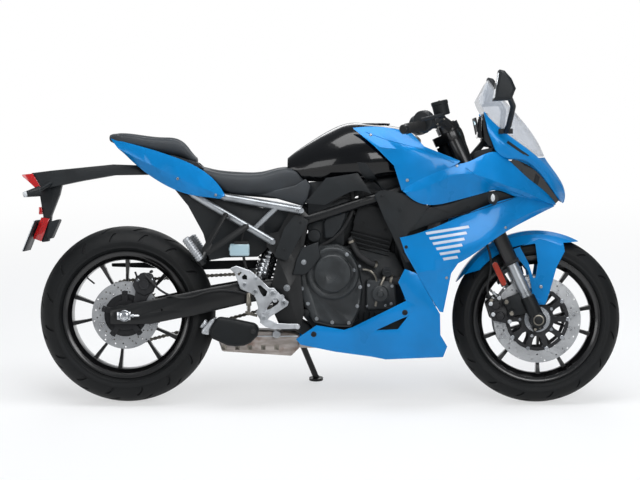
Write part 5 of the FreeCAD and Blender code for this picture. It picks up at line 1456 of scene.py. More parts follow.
@dataclass
class Exhaust(Dresser):
    """The short muffler, the collector box and their clamps."""

    can: Line = ((-404, 313), (-352, 306), (-262, 287), (-257, 268), (-262, 244), (-284, 222), (-306, 211),
                 (-340, 208), (-366, 211), (-422, 236), (-432, 252), (-430, 270))
    can_sides: tuple[float, float] = (-176, -106)
    outlet: Line = ((-404, 314), (-430, 300), (-462, 262), (-456, 252), (-431, 248), (-428, 268))
    outlet_sides: tuple[float, float] = (-166, -116)
    port: Point = (-452, -141, 286)
    dimples: Sequence[float] = (-384, -336, -292, -244, -196)

    def build(self) -> None:
        """Builds the muffler and dresses the box."""
        self.muffler()
        self.chamber()

    def muffler(self) -> None:
        """A swept can with a slanted bright outlet."""
        can = Work.plate(self.can, *self.can_sides)
        can.modify("BEVEL", width=16.0, segments=5, limit_method="ANGLE", angle_limit=math.radians(55))
        self.add(can, "muffler_can", "matt_black", 40, ["muffler"])
        cap = Work.plate(self.outlet, *self.outlet_sides).bevel(8.0, 3, 55)
        port = Vector(self.port)
        out = Vector((-0.72, 0, 0.5)).normalized()
        pipe = Work.rod(port - out * 4, port + out * 5, 17, 28)
        pipe.inset(facing(*out), 3.0)
        pipe.inset(lambda centre, normal: normal.dot(out) > 0.9 and (centre - port).length < 9, 0.2, -12.0)
        pipe.bevel(1.0, 2, 50)
        spots = ((-418, 296), (-440, 262))
        screws = [Work.rod((x, -164, z), (x, -168.5, z), 4.0, 6).bevel(0.6, 1) for x, z in spots]
        self.add([cap, pipe, *screws], "muffler_outlet", "cast_silver")
        bolt = Work.rod((-276, -170, 262), (-276, -181, 262), 9.0, 20).bevel(1.0, 2)
        head = Work.rod((-276, -180, 262), (-276, -185, 262), 6.0, 6).bevel(0.8, 1)
        self.add([bolt, head], "muffler_bolt", "rubber")

    def chamber(self) -> None:
        """Pressed dimples, a seam and a sensor on the box."""
        marks = []
        for x in self.dimples:
            mark = Work.box((x - 8, -72.4, 190), (x + 8, -69.6, 206))
            mark.inset(facing(0, -1, 0), 2.5, -1.6)
            marks.append(mark.bevel(0.8, 2, 40))
        self.add(marks, "chamber_dimples", "drive_steel")
        seam = Work.box((-388, -72, 236), (-120, -68, 241)).bevel(1.2, 2)
        knob = Work.rod((-196, -68, 248), (-196, -98, 248), 15, 24).bevel(2.5, 3)
        knob.inset(facing(0, -1, 0), 4.0, 2.0)
        clamp = Work.turned([(23, -9), (25, -9), (25, 9), (23, 9)], 32)
        clamp.move(Matrix.Translation((-128, -35, 214)) @ Matrix.Rotation(math.pi / 2, 4, "Z"))
        self.add([seam, knob, clamp], "chamber_fittings", "cast_silver")


@dataclass
class RearEnd(Dresser):
    """The chain adjusters with the axle nuts, and the rear caliper."""

    def build(self) -> None:
        """Builds the chain adjusters, the axle nuts and the caliper."""
        self.adjusters()
        self.caliper()

    def adjusters(self) -> None:
        """End blocks with bolts at the arm's ends, and the axle nuts."""
        for side, hand in HANDS.items():
            axle = REAR_AXLE
            y = side * 143.5
            low, high = sorted((y, y + side * 5))
            block = Work.plate([(axle.x - 26, 301), (axle.x + 22, 300), (axle.x + 22, 330),
                                (axle.x - 26, 329)], low, high)
            block.bevel(1.5, 2, 40)
            nut = Work.rod((axle.x, y + side * 4, axle.z), (axle.x, y + side * 17, axle.z),
                           17.5, 6).bevel(1.8, 2, 25)
            washer = Work.rod((axle.x, y + side * 4, axle.z), (axle.x, y + side * 7, axle.z),
                              20, 28).bevel(0.8, 1)
            end = Work.rod((axle.x, y + side * 14, axle.z), (axle.x, y + side * 20, axle.z), 10.0, 24)
            end.inset(facing(0, side, 0), 3.4, -5.0)
            screw = Work.rod((axle.x + 22, y + side * 1, 315), (axle.x + 52, y + side * 1, 315), 3.6, 12)
            lock = Work.rod((axle.x + 26, y + side * 1, 315), (axle.x + 34, y + side * 1, 315),
                            7.0, 6).bevel(0.8, 1)
            parts = [block, nut, washer, end, screw, lock]
            self.add(parts, f"chain_adjuster_{hand}", "bright_steel", 30, ["rear_axle"] if side < 0 else ())

    def caliper(self) -> None:
        """A two-piece sliding caliper with its pins, pad spring and bleeder."""
        body = Work.plate([(-694, 452), (-668, 468), (-636, 462), (-622, 430), (-632, 396), (-664, 384),
                           (-694, 398), (-706, 424)], -126, -103).bevel(5.0, 3, 40)
        piston = Work.rod((-664, -124, 426), (-664, -136, 426), 19, 28).bevel(3.0, 3)
        piston.inset(facing(0, -1, 0), 4.0, -2.0)
        inner = Work.plate([(-690, 448), (-640, 458), (-630, 404), (-690, 398)], -92, -78).bevel(3.0, 2, 40)
        bridge = Work.plate([(-680, 464), (-646, 466), (-646, 452), (-680, 450)], -124, -80).bevel(3.0, 2, 40)
        arm = Work.plate([(-694, 410), (-640, 398), (-668, 350), (-706, 344)], -118, -110).bevel(2.0, 2, 40)
        pin = Work.rod((-640, -90, 470), (-640, -128, 470), 5.5, 14).bevel(1.0, 1)
        bleeder = Work.rod((-690, -116, 452), (-697, -116, 470), 3.6, 8)
        parts = [body, piston, inner, bridge, arm, pin, bleeder]
        self.add(parts, "rear_caliper_cast", "caliper_dark", 32, ["rear_caliper"])
        spots = ((-686, 440), (-636, 440))
        bolts = [Work.rod((x, -124, z), (x, -130, z), 5.5, 6).bevel(0.8, 1) for x, z in spots]
        bolts.append(Work.rod((-700, -108, 348), (-700, -122, 348), 6.5, 6).bevel(0.8, 1))
        self.add(bolts, "rear_caliper_bolts", "bright_steel")


@dataclass
class Engine(Dresser):
    """The bolts, covers, hoses and pipes on the engine."""

    cover_bolts: Spots = (
        (-53, 304, 5.2), (2, 291, 5.2), (61, 289, 5.2), (91, 349, 5.2), (101, 416, 5.2), (81, 477, 5.2),
        (54, 532, 5.2), (-105, 411, 5.2), (-84, 357, 5.2), (131, 422, 4.2), (214, 419, 4.2), (211, 357, 4.2),
        (125, 347, 4.2), (99, 489, 4.2), (150, 497, 4.7), (190, 350, 3.7),
    )
    head_bolts: Spots = ((100, 712, 4.7), (168, 694, 4.7), (236, 676, 4.7), (112, 640, 4.2),
                         (190, 618, 4.2), (120, 748, 4.2), (244, 716, 4.2))
    left_bolts: Spots = (
        (-10, 466, 4.7), (22, 492, 4.7), (70, 494, 4.7), (118, 490, 4.7), (152, 436, 4.7), (146, 360, 4.7),
        (104, 338, 4.7), (60, 328, 4.7), (-2, 350, 4.7), (-112, 484, 4.2), (-112, 340, 4.2), (-58, 352, 4.2),
        (-14, 410, 4.2), (-60, 490, 4.2),
    )

    def build(self) -> None:
        """Builds the details of both sides."""
        for hand, cover, spots, side in (("right", "clutch_cover", self.cover_bolts, -1),
                                         ("left", "left_covers", self.left_bolts, 1)):
            self.bench.screws(f"engine_bolts_{hand}", Head.FLANGE, ("crankcase", cover), spots, side,
                              Body.CHASSIS, "screw_steel")
        for side, hand in HANDS.items():
            self.bench.screws(f"head_bolts_{hand}", Head.FLANGE, ("cylinders",), self.head_bolts, side,
                              Body.CHASSIS, "cast_grey")
        self.castings()
        self.hoses()
        self.header_flanges()
        self.plug_leads()
        self.behind()
        self.rear_reservoir()

    def castings(self) -> None:
        """The raised sump cover, stiffening ribs and the oil filler."""
        sump = Work.plate([(-72, 352), (-66, 296), (-40, 288), (80, 288), (97, 300), (97, 372), (60, 378),
                           (-50, 376)], -104, -92).bevel(5.0, 3, 40)
        sump.inset(facing(0, -1, 0), 9.0, 0.0)
        sump.inset(lambda centre, normal: normal.y < -0.9 and abs(centre.x - 15) < 40, 0.4, -2.4)
        ribs = [sump]
        for i in range(6):
            x = 118 + i * 19
            ribs.append(Work.box((x - 1.8, -108, 286), (x + 1.8, -92, 330 - i * 2)).bevel(1.2, 1))
        for z in (560, 576, 592, 608):
            ribs.append(Work.plate([(66, z), (206, z - 36), (208, z - 30), (68, z + 6)],
                                   -99, 99).bevel(1.4, 1))
        self.add(ribs, "engine_castings", "cast_dark")
        filler = Work.rod((196, -110, 470), (196, -132, 470), 17, 28).bevel(2.0, 2)
        filler.inset(facing(0, -1, 0), 5.0, -2.0)
        grip = Work.box((183, -136, 467), (209, -128, 473)).bevel(1.4, 2)
        drain = Work.rod((30, -60, 258), (30, -60, 246), 12, 6).bevel(1.5, 1)
        self.add([filler, grip, drain], "oil_filler", "moulded_plastic")

    def hoses(self) -> None:
        """The coolant hose, breather pipes and the wiring beside the head."""
        coolant = Work.hose([(66, -112, 590), (78, -118, 561), (94, -122, 534), (115, -124, 516),
                             (138, -122, 502), (160, -112, 494)], 10.5, 20)
        lower = Work.hose([(196, -96, 446), (246, -104, 430), (296, -112, 440), (330, -118, 474)], 15.0, 20)
        upper = Work.hose([(352, 120, 728), (300, 118, 740), (230, 106, 700), (200, 92, 660)], 15.0, 20)
        loom = Work.hose([(-40, -104, 560), (10, -110, 584), (56, -112, 640), (84, -108, 712),
                          (70, -96, 760)], 6.5, 14)
        self.add([coolant, lower, upper, loom], "engine_hoses", "rubber")
        clips = []
        for place, way, radius in (((70, -115, 578), (0.35, 0.1, -0.92), 12.4),
                                   ((154, -116, 496), (0.9, 0.4, -0.3), 12.4),
                                   ((322, -116.5, 464), (0.6, -0.1, 0.78), 16.8),
                                   ((212, -98, 441), (0.95, -0.1, -0.25), 16.8)):
            ring = Work.turned([(radius, -4), (radius + 1.2, -4), (radius + 1.2, 4), (radius, 4)], 28)
            turn = Vector(way).normalized().to_track_quat("Y", "Z").to_matrix().to_4x4()
            clips.append(ring.move(Matrix.Translation(place) @ turn))
        pipe = Work.hose([(111, -112, 478), (128, -118, 479), (146, -118, 468), (159, -112, 449),
                          (160, -104, 430)], 4.0, 12)
        strut = Work.hose([(189, -112, 456), (176, -118, 430), (160, -118, 380), (155, -112, 348)], 5.0, 12)
        self.add([*clips, pipe, strut], "engine_pipes", "drive_steel")

    def rear_reservoir(self) -> None:
        """The rear brake's fluid pot with its cap, hose and clip."""
        turn = self.bench.stance.bike.inverted() @ self.bench.nodes["brake_reservoir"].matrix_world
        spots = [turn @ vertex.co for vertex in self.bench.nodes["brake_reservoir"].data.vertices]
        low = Vector([min(spot[i] for spot in spots if spot.z < 572) for i in range(3)])
        high = Vector([max(spot[i] for spot in spots if spot.z < 572) for i in range(3)])
        pot = Work.box(low, high).bevel(7.0, 4)
        middle = (low.y + high.y) / 2
        spout = Work.rod((low.x + 12, middle, high.z - 18), (low.x - 2, middle, high.z - 18), 7, 20)
        self.add([pot, spout], "rear_fluid_pot", "fluid_pot", 40, ["brake_reservoir"])
        cap = Work.box((low.x + 16, low.y + 1, high.z - 3),
                       (high.x - 4, high.y - 1, high.z + 9)).bevel(3.0, 3)
        hose = Work.hose([(high.x - 22, middle, low.z + 4), (high.x - 20, middle, low.z - 16),
                          (high.x - 6, middle - 8, low.z - 60), (-292, -158, 430), (-292, -161, 392)],
                         5.0, 12)
        stay = Work.hose([(high.x - 30, middle, high.z + 6), (high.x - 22, middle * 0.9, high.z + 40),
                          (high.x - 18, -112, high.z + 66)], 3.0, 10)
        line = Work.hose([(-292, -161, 392), (-330, -158, 404), (-420, -150, 408), (-520, -146, 372),
                          (-600, -144, 396), (-652, -132, 452), (-668, -118, 462)], 4.2, 10)
        self.add([cap, hose, stay, line], "rear_brake_hoses", "rubber")

    def header_flanges(self) -> None:
        """The clamps of the header pipes at the head, with their nuts, and the probe."""
        parts = []
        for side in (-1, 1):
            axis = Vector((0.978, 0, -0.21)).normalized()
            turn = axis.to_track_quat("Y", "Z").to_matrix().to_4x4()
            centre = Vector((246, side * 46, 646))
            ring = Work.turned([(23, -3), (34, -3), (34, 5), (23, 5)], 32).bevel(1.0, 1)
            parts.append(ring.move(Matrix.Translation(centre) @ turn))
            for hand in (-1, 1):
                at = centre + Vector((0, hand * 36, 0))
                parts.append(Work.rod(at - axis * 4, at + axis * 4, 11, 20).bevel(1.0, 1))
                parts.append(Work.rod(at + axis * 3, at + axis * 11, 7.5, 6).bevel(0.8, 1))
        probe = Work.rod((300, -60, 420), (300, -96, 428), 8, 6).bevel(1.0, 1)
        self.add([*parts, probe], "header_flanges", "drive_steel")

    def behind(self) -> None:
        """What fills the space behind the frame: starter, control box, breather and front mount."""
        starter = Work.rod((-66, -60, 578), (-66, 60, 578), 34, 32).bevel(4.0, 3)
        nose = Work.rod((-66, -92, 578), (-66, -58, 578), 24, 32).bevel(4.0, 3)
        breather = Work.plate([(-14, 556), (84, 556), (96, 640), (92, 712), (10, 724), (-20, 640)],
                              -44, 44).bevel(8, 3, 30)
        mount = Work.plate([(196, 496), (266, 470), (276, 540), (262, 612), (214, 604)],
                           -62, 62).bevel(7, 3, 30)
        ribs = [Work.box((x - 2, -66, 500), (x + 2, 66, 596)).bevel(1.2, 1) for x in (222, 236, 250)]
        self.add([starter, nose, breather, mount, *ribs], "engine_back_parts", "cast_dark")
        box = Work.plate([(-104, 706), (-100, 620), (-40, 612), (6, 640), (10, 716), (-30, 728)],
                         -74, 74).bevel(6, 3, 30)
        box.inset(lambda centre, normal: abs(normal.y) > 0.9, 8.0, 0.0, True)
        box.inset(lambda centre, normal: abs(normal.y) > 0.9 and abs(centre.x + 44) < 30, 0.5, -2.0, True)
        vent = Work.plate([(150, 258), (258, 322), (282, 324), (236, 258)], -120, -116).bevel(1.0, 1)
        twin = vent.twin()
        self.add([box, vent, twin], "control_box", "moulded_plastic")
        pipes = []
        for i, (x, z) in enumerate(((28, 742), (48, 728), (140, 742), (8, 716))):
            pipes.append(Work.hose([(x - 60, -84 + i * 3, z - 30), (x - 24, -92 + i * 3, z + 8),
                                    (x + 30, -94 + i * 4, z + 2), (x + 70, -84, z - 26),
                                    (x + 92, -70, z - 70)], 5.0 + i % 2, 10))
        self.add(pipes, "engine_looms", "rubber")
        self.bench.screws("frame_bolts", Head.FLANGE, ("main_frame", "frame_covers"),
                          ((-158, 414, 9.0), (-98, 505, 7.0)), -1, Body.CHASSIS, "screw_steel")
        self.bench.screws("subframe_bolts", Head.CAP, ("subframe",), ((-122, 688, 7.0), (-211, 579, 7.0),
                          (-308, 626, 5.0)), -1, Body.CHASSIS, "screw_steel")

    def plug_leads(self) -> None:
        """The coil caps on the head cover and their leads."""
        parts = []
        for y in (-46, 46):
            parts.append(Work.rod((186, y, 742), (192, y, 770), 14, 20).bevel(2.0, 2))
            parts.append(Work.box((176, y - 13, 764), (212, y + 13, 778)).bevel(2.5, 2))
            parts.append(Work.hose([(212, y, 771), (236, y * 1.1, 772), (240, y * 1.4, 790),
                                    (216, y * 1.6, 806)], 3.4, 10))
        self.add(parts, "coil_caps", "moulded_plastic")


@dataclass
class ForkDetails(Dresser):
    """The fork's castings and bright tubes, the calipers' parts and the brake hoses."""

    body: ClassVar[Body] = Body.FORK
    tube_radius: float = 20.5
    reach: float = 411.0
    mounts: Line = ((-76, 62), (-76, 106))

    def build(self) -> None:
        """Builds both legs."""
        for side in (-1, 1):
            self.leg(side)
            self.caliper(side)
            self.hose(side)
        self.guard()
        self.fender()

    def fender(self) -> None:
        """The front fender with its ends drawn out to points, and its bolts."""
        bike = self.bench.stance.bike
        fender = self.bench.copy("front_fender")
        front = Work.plate([(824, 572), (905, 577), (900, 470), (840, 470)], -120, 120)
        rear = Work.plate([(420, 404), (474, 459), (539, 479), (590, 528), (612, 470), (560, 370),
                           (430, 340)], -120, 120)
        fender.cut(front, rear)
        fender.bevel(1.0, 2, 40)
        self.bench.finish(fender, "front_fender_shell", Body.FORK, "blue_gloss", bike, 20, ["front_fender"])
        place = self.bench.stance.fork.inverted() @ bike
        spots = [place @ Vector((x, 0, z)) for x, z in ((718, 468), (744, 416))]
        for side, hand in HANDS.items():
            self.bench.screws(f"fender_bolts_{hand}", Head.CAP, ("front_fender",),
                              [(at.x, at.z, 6.0) for at in spots], side, Body.FORK, "screw_steel")

    def leg(self, side: int) -> None:
        """The bright tube, the dust seal and the dark lower casting of a leg."""
        hand = HANDS[side]
        foot = Vector((FORK_OFFSET, side * FORK_SPACING, -LEG_REACH))
        top = Vector((foot.x, foot.y, -self.reach + 6))
        tube = Work.rod(foot + Vector((0, 0, 60)), top, self.tube_radius, 48)
        self.add(tube, f"fork_tube_bright_{hand}", "screw_steel", 40, ["fork_sliders"] if side < 0 else ())
        seal = Work.turned([(20, 0), (24, 0), (29, 6), (29, 13), (20, 13)], 48)
        seal.move(Matrix.Translation((top.x, top.y, top.z - 12)) @ Matrix.Rotation(math.pi / 2, 4, "X"))
        self.add(seal, f"fork_seal_{hand}", "rubber")
        lower = Work.rod(foot + Vector((0, 0, -14)), foot + Vector((0, 0, 92)), 26, 40).bevel(4.0, 3)
        lower.modify("BEVEL", width=0.5, segments=1, limit_method="ANGLE", angle_limit=math.radians(60))
        clamp = Work.rod(foot - Vector((0, 23, 0)), foot + Vector((0, 23, 0)), 28, 40).bevel(2.5, 3)
        clamp.cut(Work.rod(foot - Vector((0, 40, 0)), foot + Vector((0, 40, 0)), 13.6, 32))
        lug = Work.box(foot + Vector((-32, -15, -34)), foot + Vector((6, 15, -16))).bevel(3.0, 3)
        lug.cut(Work.box(foot + Vector((-40, -1.5, -40)), foot + Vector((0, 1.5, -12))))
        web = Work.face([foot + Vector((a, side * -10.5, b)) for a, b in
                         ((0, 36), (0, 112), (-30, 116), (-84, 118), (-84, 52), (-40, 40))])
        web.wall(20, 0.0).bevel(3.0, 2, 40)
        parts = [lower, clamp, lug, web]
        for a, b in self.mounts:
            at = foot + Vector((a, side * 2, b))
            parts.append(Work.rod(at, at + Vector((0, side * 16, 0)), 12, 24).bevel(1.5, 2))
        self.add(parts, f"fork_casting_{hand}", "cast_dark")
        bolts = []
        for a in (-24, -6):
            at = foot + Vector((a, 0, -25))
            bolts.append(Work.rod(at + Vector((0, side * 12, 0)), at + Vector((0, side * 20, 0)),
                                  5.5, 6).bevel(0.8, 1))
        for a, b in self.mounts:
            at = foot + Vector((a, side * 16, b))
            bolts.append(Work.rod(at, at + Vector((0, side * 9, 0)), 8.5, 6).bevel(1.0, 1))
        end = foot + Vector((0, side * 22, 0))
        washer = Work.rod(end, end + Vector((0, side * 5, 0)), 19, 32).bevel(1.0, 2)
        washer.cut(Work.rod(end, end + Vector((0, side * 9, 0)), 9.0, 6))
        self.add([*bolts, washer], f"fork_bolts_{hand}", "drive_steel")

    def caliper(self, side: int) -> None:
        """The pad pins, bridge bolts and bleed nipple on a front caliper."""
        hand = HANDS[side]
        foot = Vector((FORK_OFFSET, 0, -LEG_REACH))
        parts = []
        for a, b in ((-94, 36), (-136, 84), (-128, 122), (-92, 128)):
            at = foot + Vector((a, side * 91, b))
            parts.append(Work.rod(at, at + Vector((0, side * 10, 0)), 7.5, 24).bevel(1.0, 2))
            parts.append(Work.rod(at + Vector((0, side * 9, 0)), at + Vector((0, side * 12, 0)), 4.6, 6))
        pin = foot + Vector((-112, side * 60, 136))
        parts.append(Work.rod(pin, pin + Vector((0, side * 30, 0)), 4.0, 14))
        nipple = foot + Vector((-96, side * 86, 134))
        parts.append(Work.rod(nipple, nipple + Vector((-4, side * 2, 14)), 4.2, 8, 3.0))
        parts.append(Work.rod(nipple + Vector((-4, side * 2, 12)), nipple + Vector((-6, side * 3, 22)),
                              4.8, 14))
        self.add(parts, f"caliper_pins_{hand}", "cast_silver")
        rings = []
        for a, b in ((-116, 68), (-114, 110)):
            ring = Work.turned([(9, 0), (11.5, 0), (11.5, 1.6), (9, 1.6)], 32)
            rings.append(ring.move(Matrix.Translation(foot + Vector((a, side * 98.5 - 0.8, b)))))
        self.add(rings, f"caliper_rings_{hand}", "caliper_dark")

    def hose(self, side: int) -> None:
        """A brake hose from the yoke down to the caliper, with its clips and ends."""
        hand = HANDS[side]
        foot = Vector((FORK_OFFSET, 0, -LEG_REACH))
        route = ((-120, 84, 134), (-126, 86, 170), (-72, 96, 232), (-50, 100, 300), (-52, 96, 420),
                 (-60, 84, 520), (-50, 60, 590), (-30, 30, 612))
        points = [foot + Vector((x, side * y, z)) for x, y, z in route]
        pipe = Work.hose(points, 4.6, 12)
        grommets = [Work.rod(foot + Vector((-51, side * 98, 340)), foot + Vector((-51, side * 98, 364)),
                             8.0, 18).bevel(2, 2)]
        self.add([pipe, *grommets], f"brake_hose_{hand}", "rubber")
        banjo = foot + Vector((-120, side * 86, 132))
        nut = Work.rod(banjo + Vector((0, 0, -4)), banjo + Vector((0, 0, 5)), 9, 20).bevel(1.0, 1)
        top = Work.rod(banjo + Vector((0, side * 3, 0)), banjo + Vector((0, side * 12, 0)),
                       6.5, 6).bevel(0.8, 1)
        stay = Work.box(foot + Vector((-52, side * 97 - 2, 349)),
                        foot + Vector((-24, side * 97 + 2, 357))).bevel(0.8, 1)
        self.add([nut, top, stay], f"brake_hose_ends_{hand}", "drive_steel")

    def guard(self) -> None:
        """The reflectors behind the legs and their stays."""
        lamps, backs = [], []
        for side in (-1, 1):
            centre = Vector((FORK_OFFSET - 56, side * (FORK_SPACING + 4), -LEG_REACH + 206))
            low, high = centre - Vector((10, 3, 45)), centre + Vector((10, 3, 45))
            ends = [(-10, -36), (-7, -43), (0, -46), (7, -43), (10, -36), (10, 36), (7, 43), (0, 46),
                    (-7, 43), (-10, 36)]
            outline = [(centre.x + x, centre.z + z) for x, z in ends]
            lens = Work.plate(outline, low.y, high.y).bevel(1.4, 2, 40)
            lens.inset(facing(0, side, 0), 2.0, -0.8)
            lamps.append(lens)
            backs.append(Work.box(low + Vector((-2, -side * 3 - 1, -2)),
                                  high + Vector((2, -side * 3 - 1, 2))).bevel(1.5, 1))
            backs.append(Work.box(centre + Vector((10, -side * 8 - 3, -6)),
                                  centre + Vector((58, -side * 8 + 3, 6))).bevel(1, 1))
        self.add(lamps, "fork_reflectors", "deep_amber_lens")
        self.add(backs, "reflector_stays", "moulded_plastic")


@dataclass
class Panels(Dresser):
    """The screws, seams and stripes of the bodywork."""

    panels: tuple[str, ...] = ("upper_fairings", "tank_covers", "lower_fairings", "belly_cowls", "nose_cowl",
                               "tail_cowl", "inner_panels", "frame_covers")
    screws: Spots = (
        (266, 794, 6.5), (440, 844, 6.0), (138, 954, 6.0), (300, 622, 5.5), (612, 628, 5.5), (404, 452, 5.5),
        (-545, 800, 6.0), (-410, 742, 5.5), (110, 752, 5.0),
    )
    rivets: Spots = ((-63, 251, 10.0), (258, 329, 10.0), (240, 692, 8.0), (150, 664, 7.0), (262, 560, 6.0),
                     (176, 740, 5.5), (-110, 646, 6.0), (-168, 548, 6.0), (480, 700, 6.0), (560, 716, 6.0))
    stripe_count: int = 6

    def build(self) -> None:
        """Dresses both sides."""
        for side, hand in HANDS.items():
            self.bench.screws(f"panel_screws_{hand}", Head.BUTTON, self.panels, self.screws, side,
                              Body.CHASSIS, "screw_steel")
            self.bench.screws(f"panel_rivets_{hand}", Head.RIVET, self.panels, self.rivets, side,
                              Body.CHASSIS, "moulded_plastic")
            self.stripes(side, hand)
            self.tank(side, hand)
            self.seams(side, hand)

    def stripes(self, side: int, hand: str) -> None:
        """Pale slanted bars on the lower fairing, each shorter than the one above."""
        bars = []
        for i in range(self.stripe_count):
            x, z, long = 330 + i * 12, 612 - i * 18, 150 - i * 20
            upper = [(x, z), (x + long, z + long * 0.16)]
            lower = [(x + 4, z - 9), (x + long + 4, z - 9 + long * 0.16)]
            bars.append(self.bench.patch(("lower_fairings",), upper, lower, side, Body.CHASSIS, 0.35, 2, 12))
        self.add(bars, f"fairing_stripes_{hand}", "pale_film")

    def tank(self, side: int, hand: str) -> None:
        """The matt strip behind the tank's highlight."""
        upper = [(90, 858), (121, 856), (186, 762)]
        lower = [(97, 830), (131, 782), (158, 756)]
        nodes = ("fuel_tank", "frame_covers", "inner_panels", "tank_covers")
        strip = self.bench.patch(nodes, upper, lower, side, Body.CHASSIS, 1.6, 10, 24)
        self.add(strip, f"tank_strip_{hand}", "moulded_plastic")

    def seams(self, side: int, hand: str) -> None:
        """The panels' creases, and painted shadow along their gaps and in the slit beside the screen."""
        # A dark line of painted shadow along the gap between the fairings
        gap = self.bench.seam(("upper_fairings", "lower_fairings", "inner_panels"),
                              [(345, 702), (450, 668), (560, 704), (640, 730)], side, Body.CHASSIS, 1.3, -0.6)
        crest = [(("upper_fairings",), [(470, 838), (556, 778), (649, 749), (766, 706)]),
                 (("tank_covers",), [(120, 965), (196, 936), (330, 900), (430, 856)])]
        beads = [self.bench.seam(nodes, points, side, Body.CHASSIS, 1.6, 0.1) for nodes, points in crest]
        self.add(beads, f"panel_creases_{hand}", "blue_gloss")
        # The slit is a dark sheet of painted shadow laid on the nose cowl
        slit = self.bench.patch(("nose_cowl",), [(622, 934), (668, 902), (698, 882)],
                                [(616, 926), (664, 893), (692, 876)], side, Body.CHASSIS, 0.4, 2, 14)
        self.add([gap, slit], f"panel_gaps_{hand}", "deep_shadow")


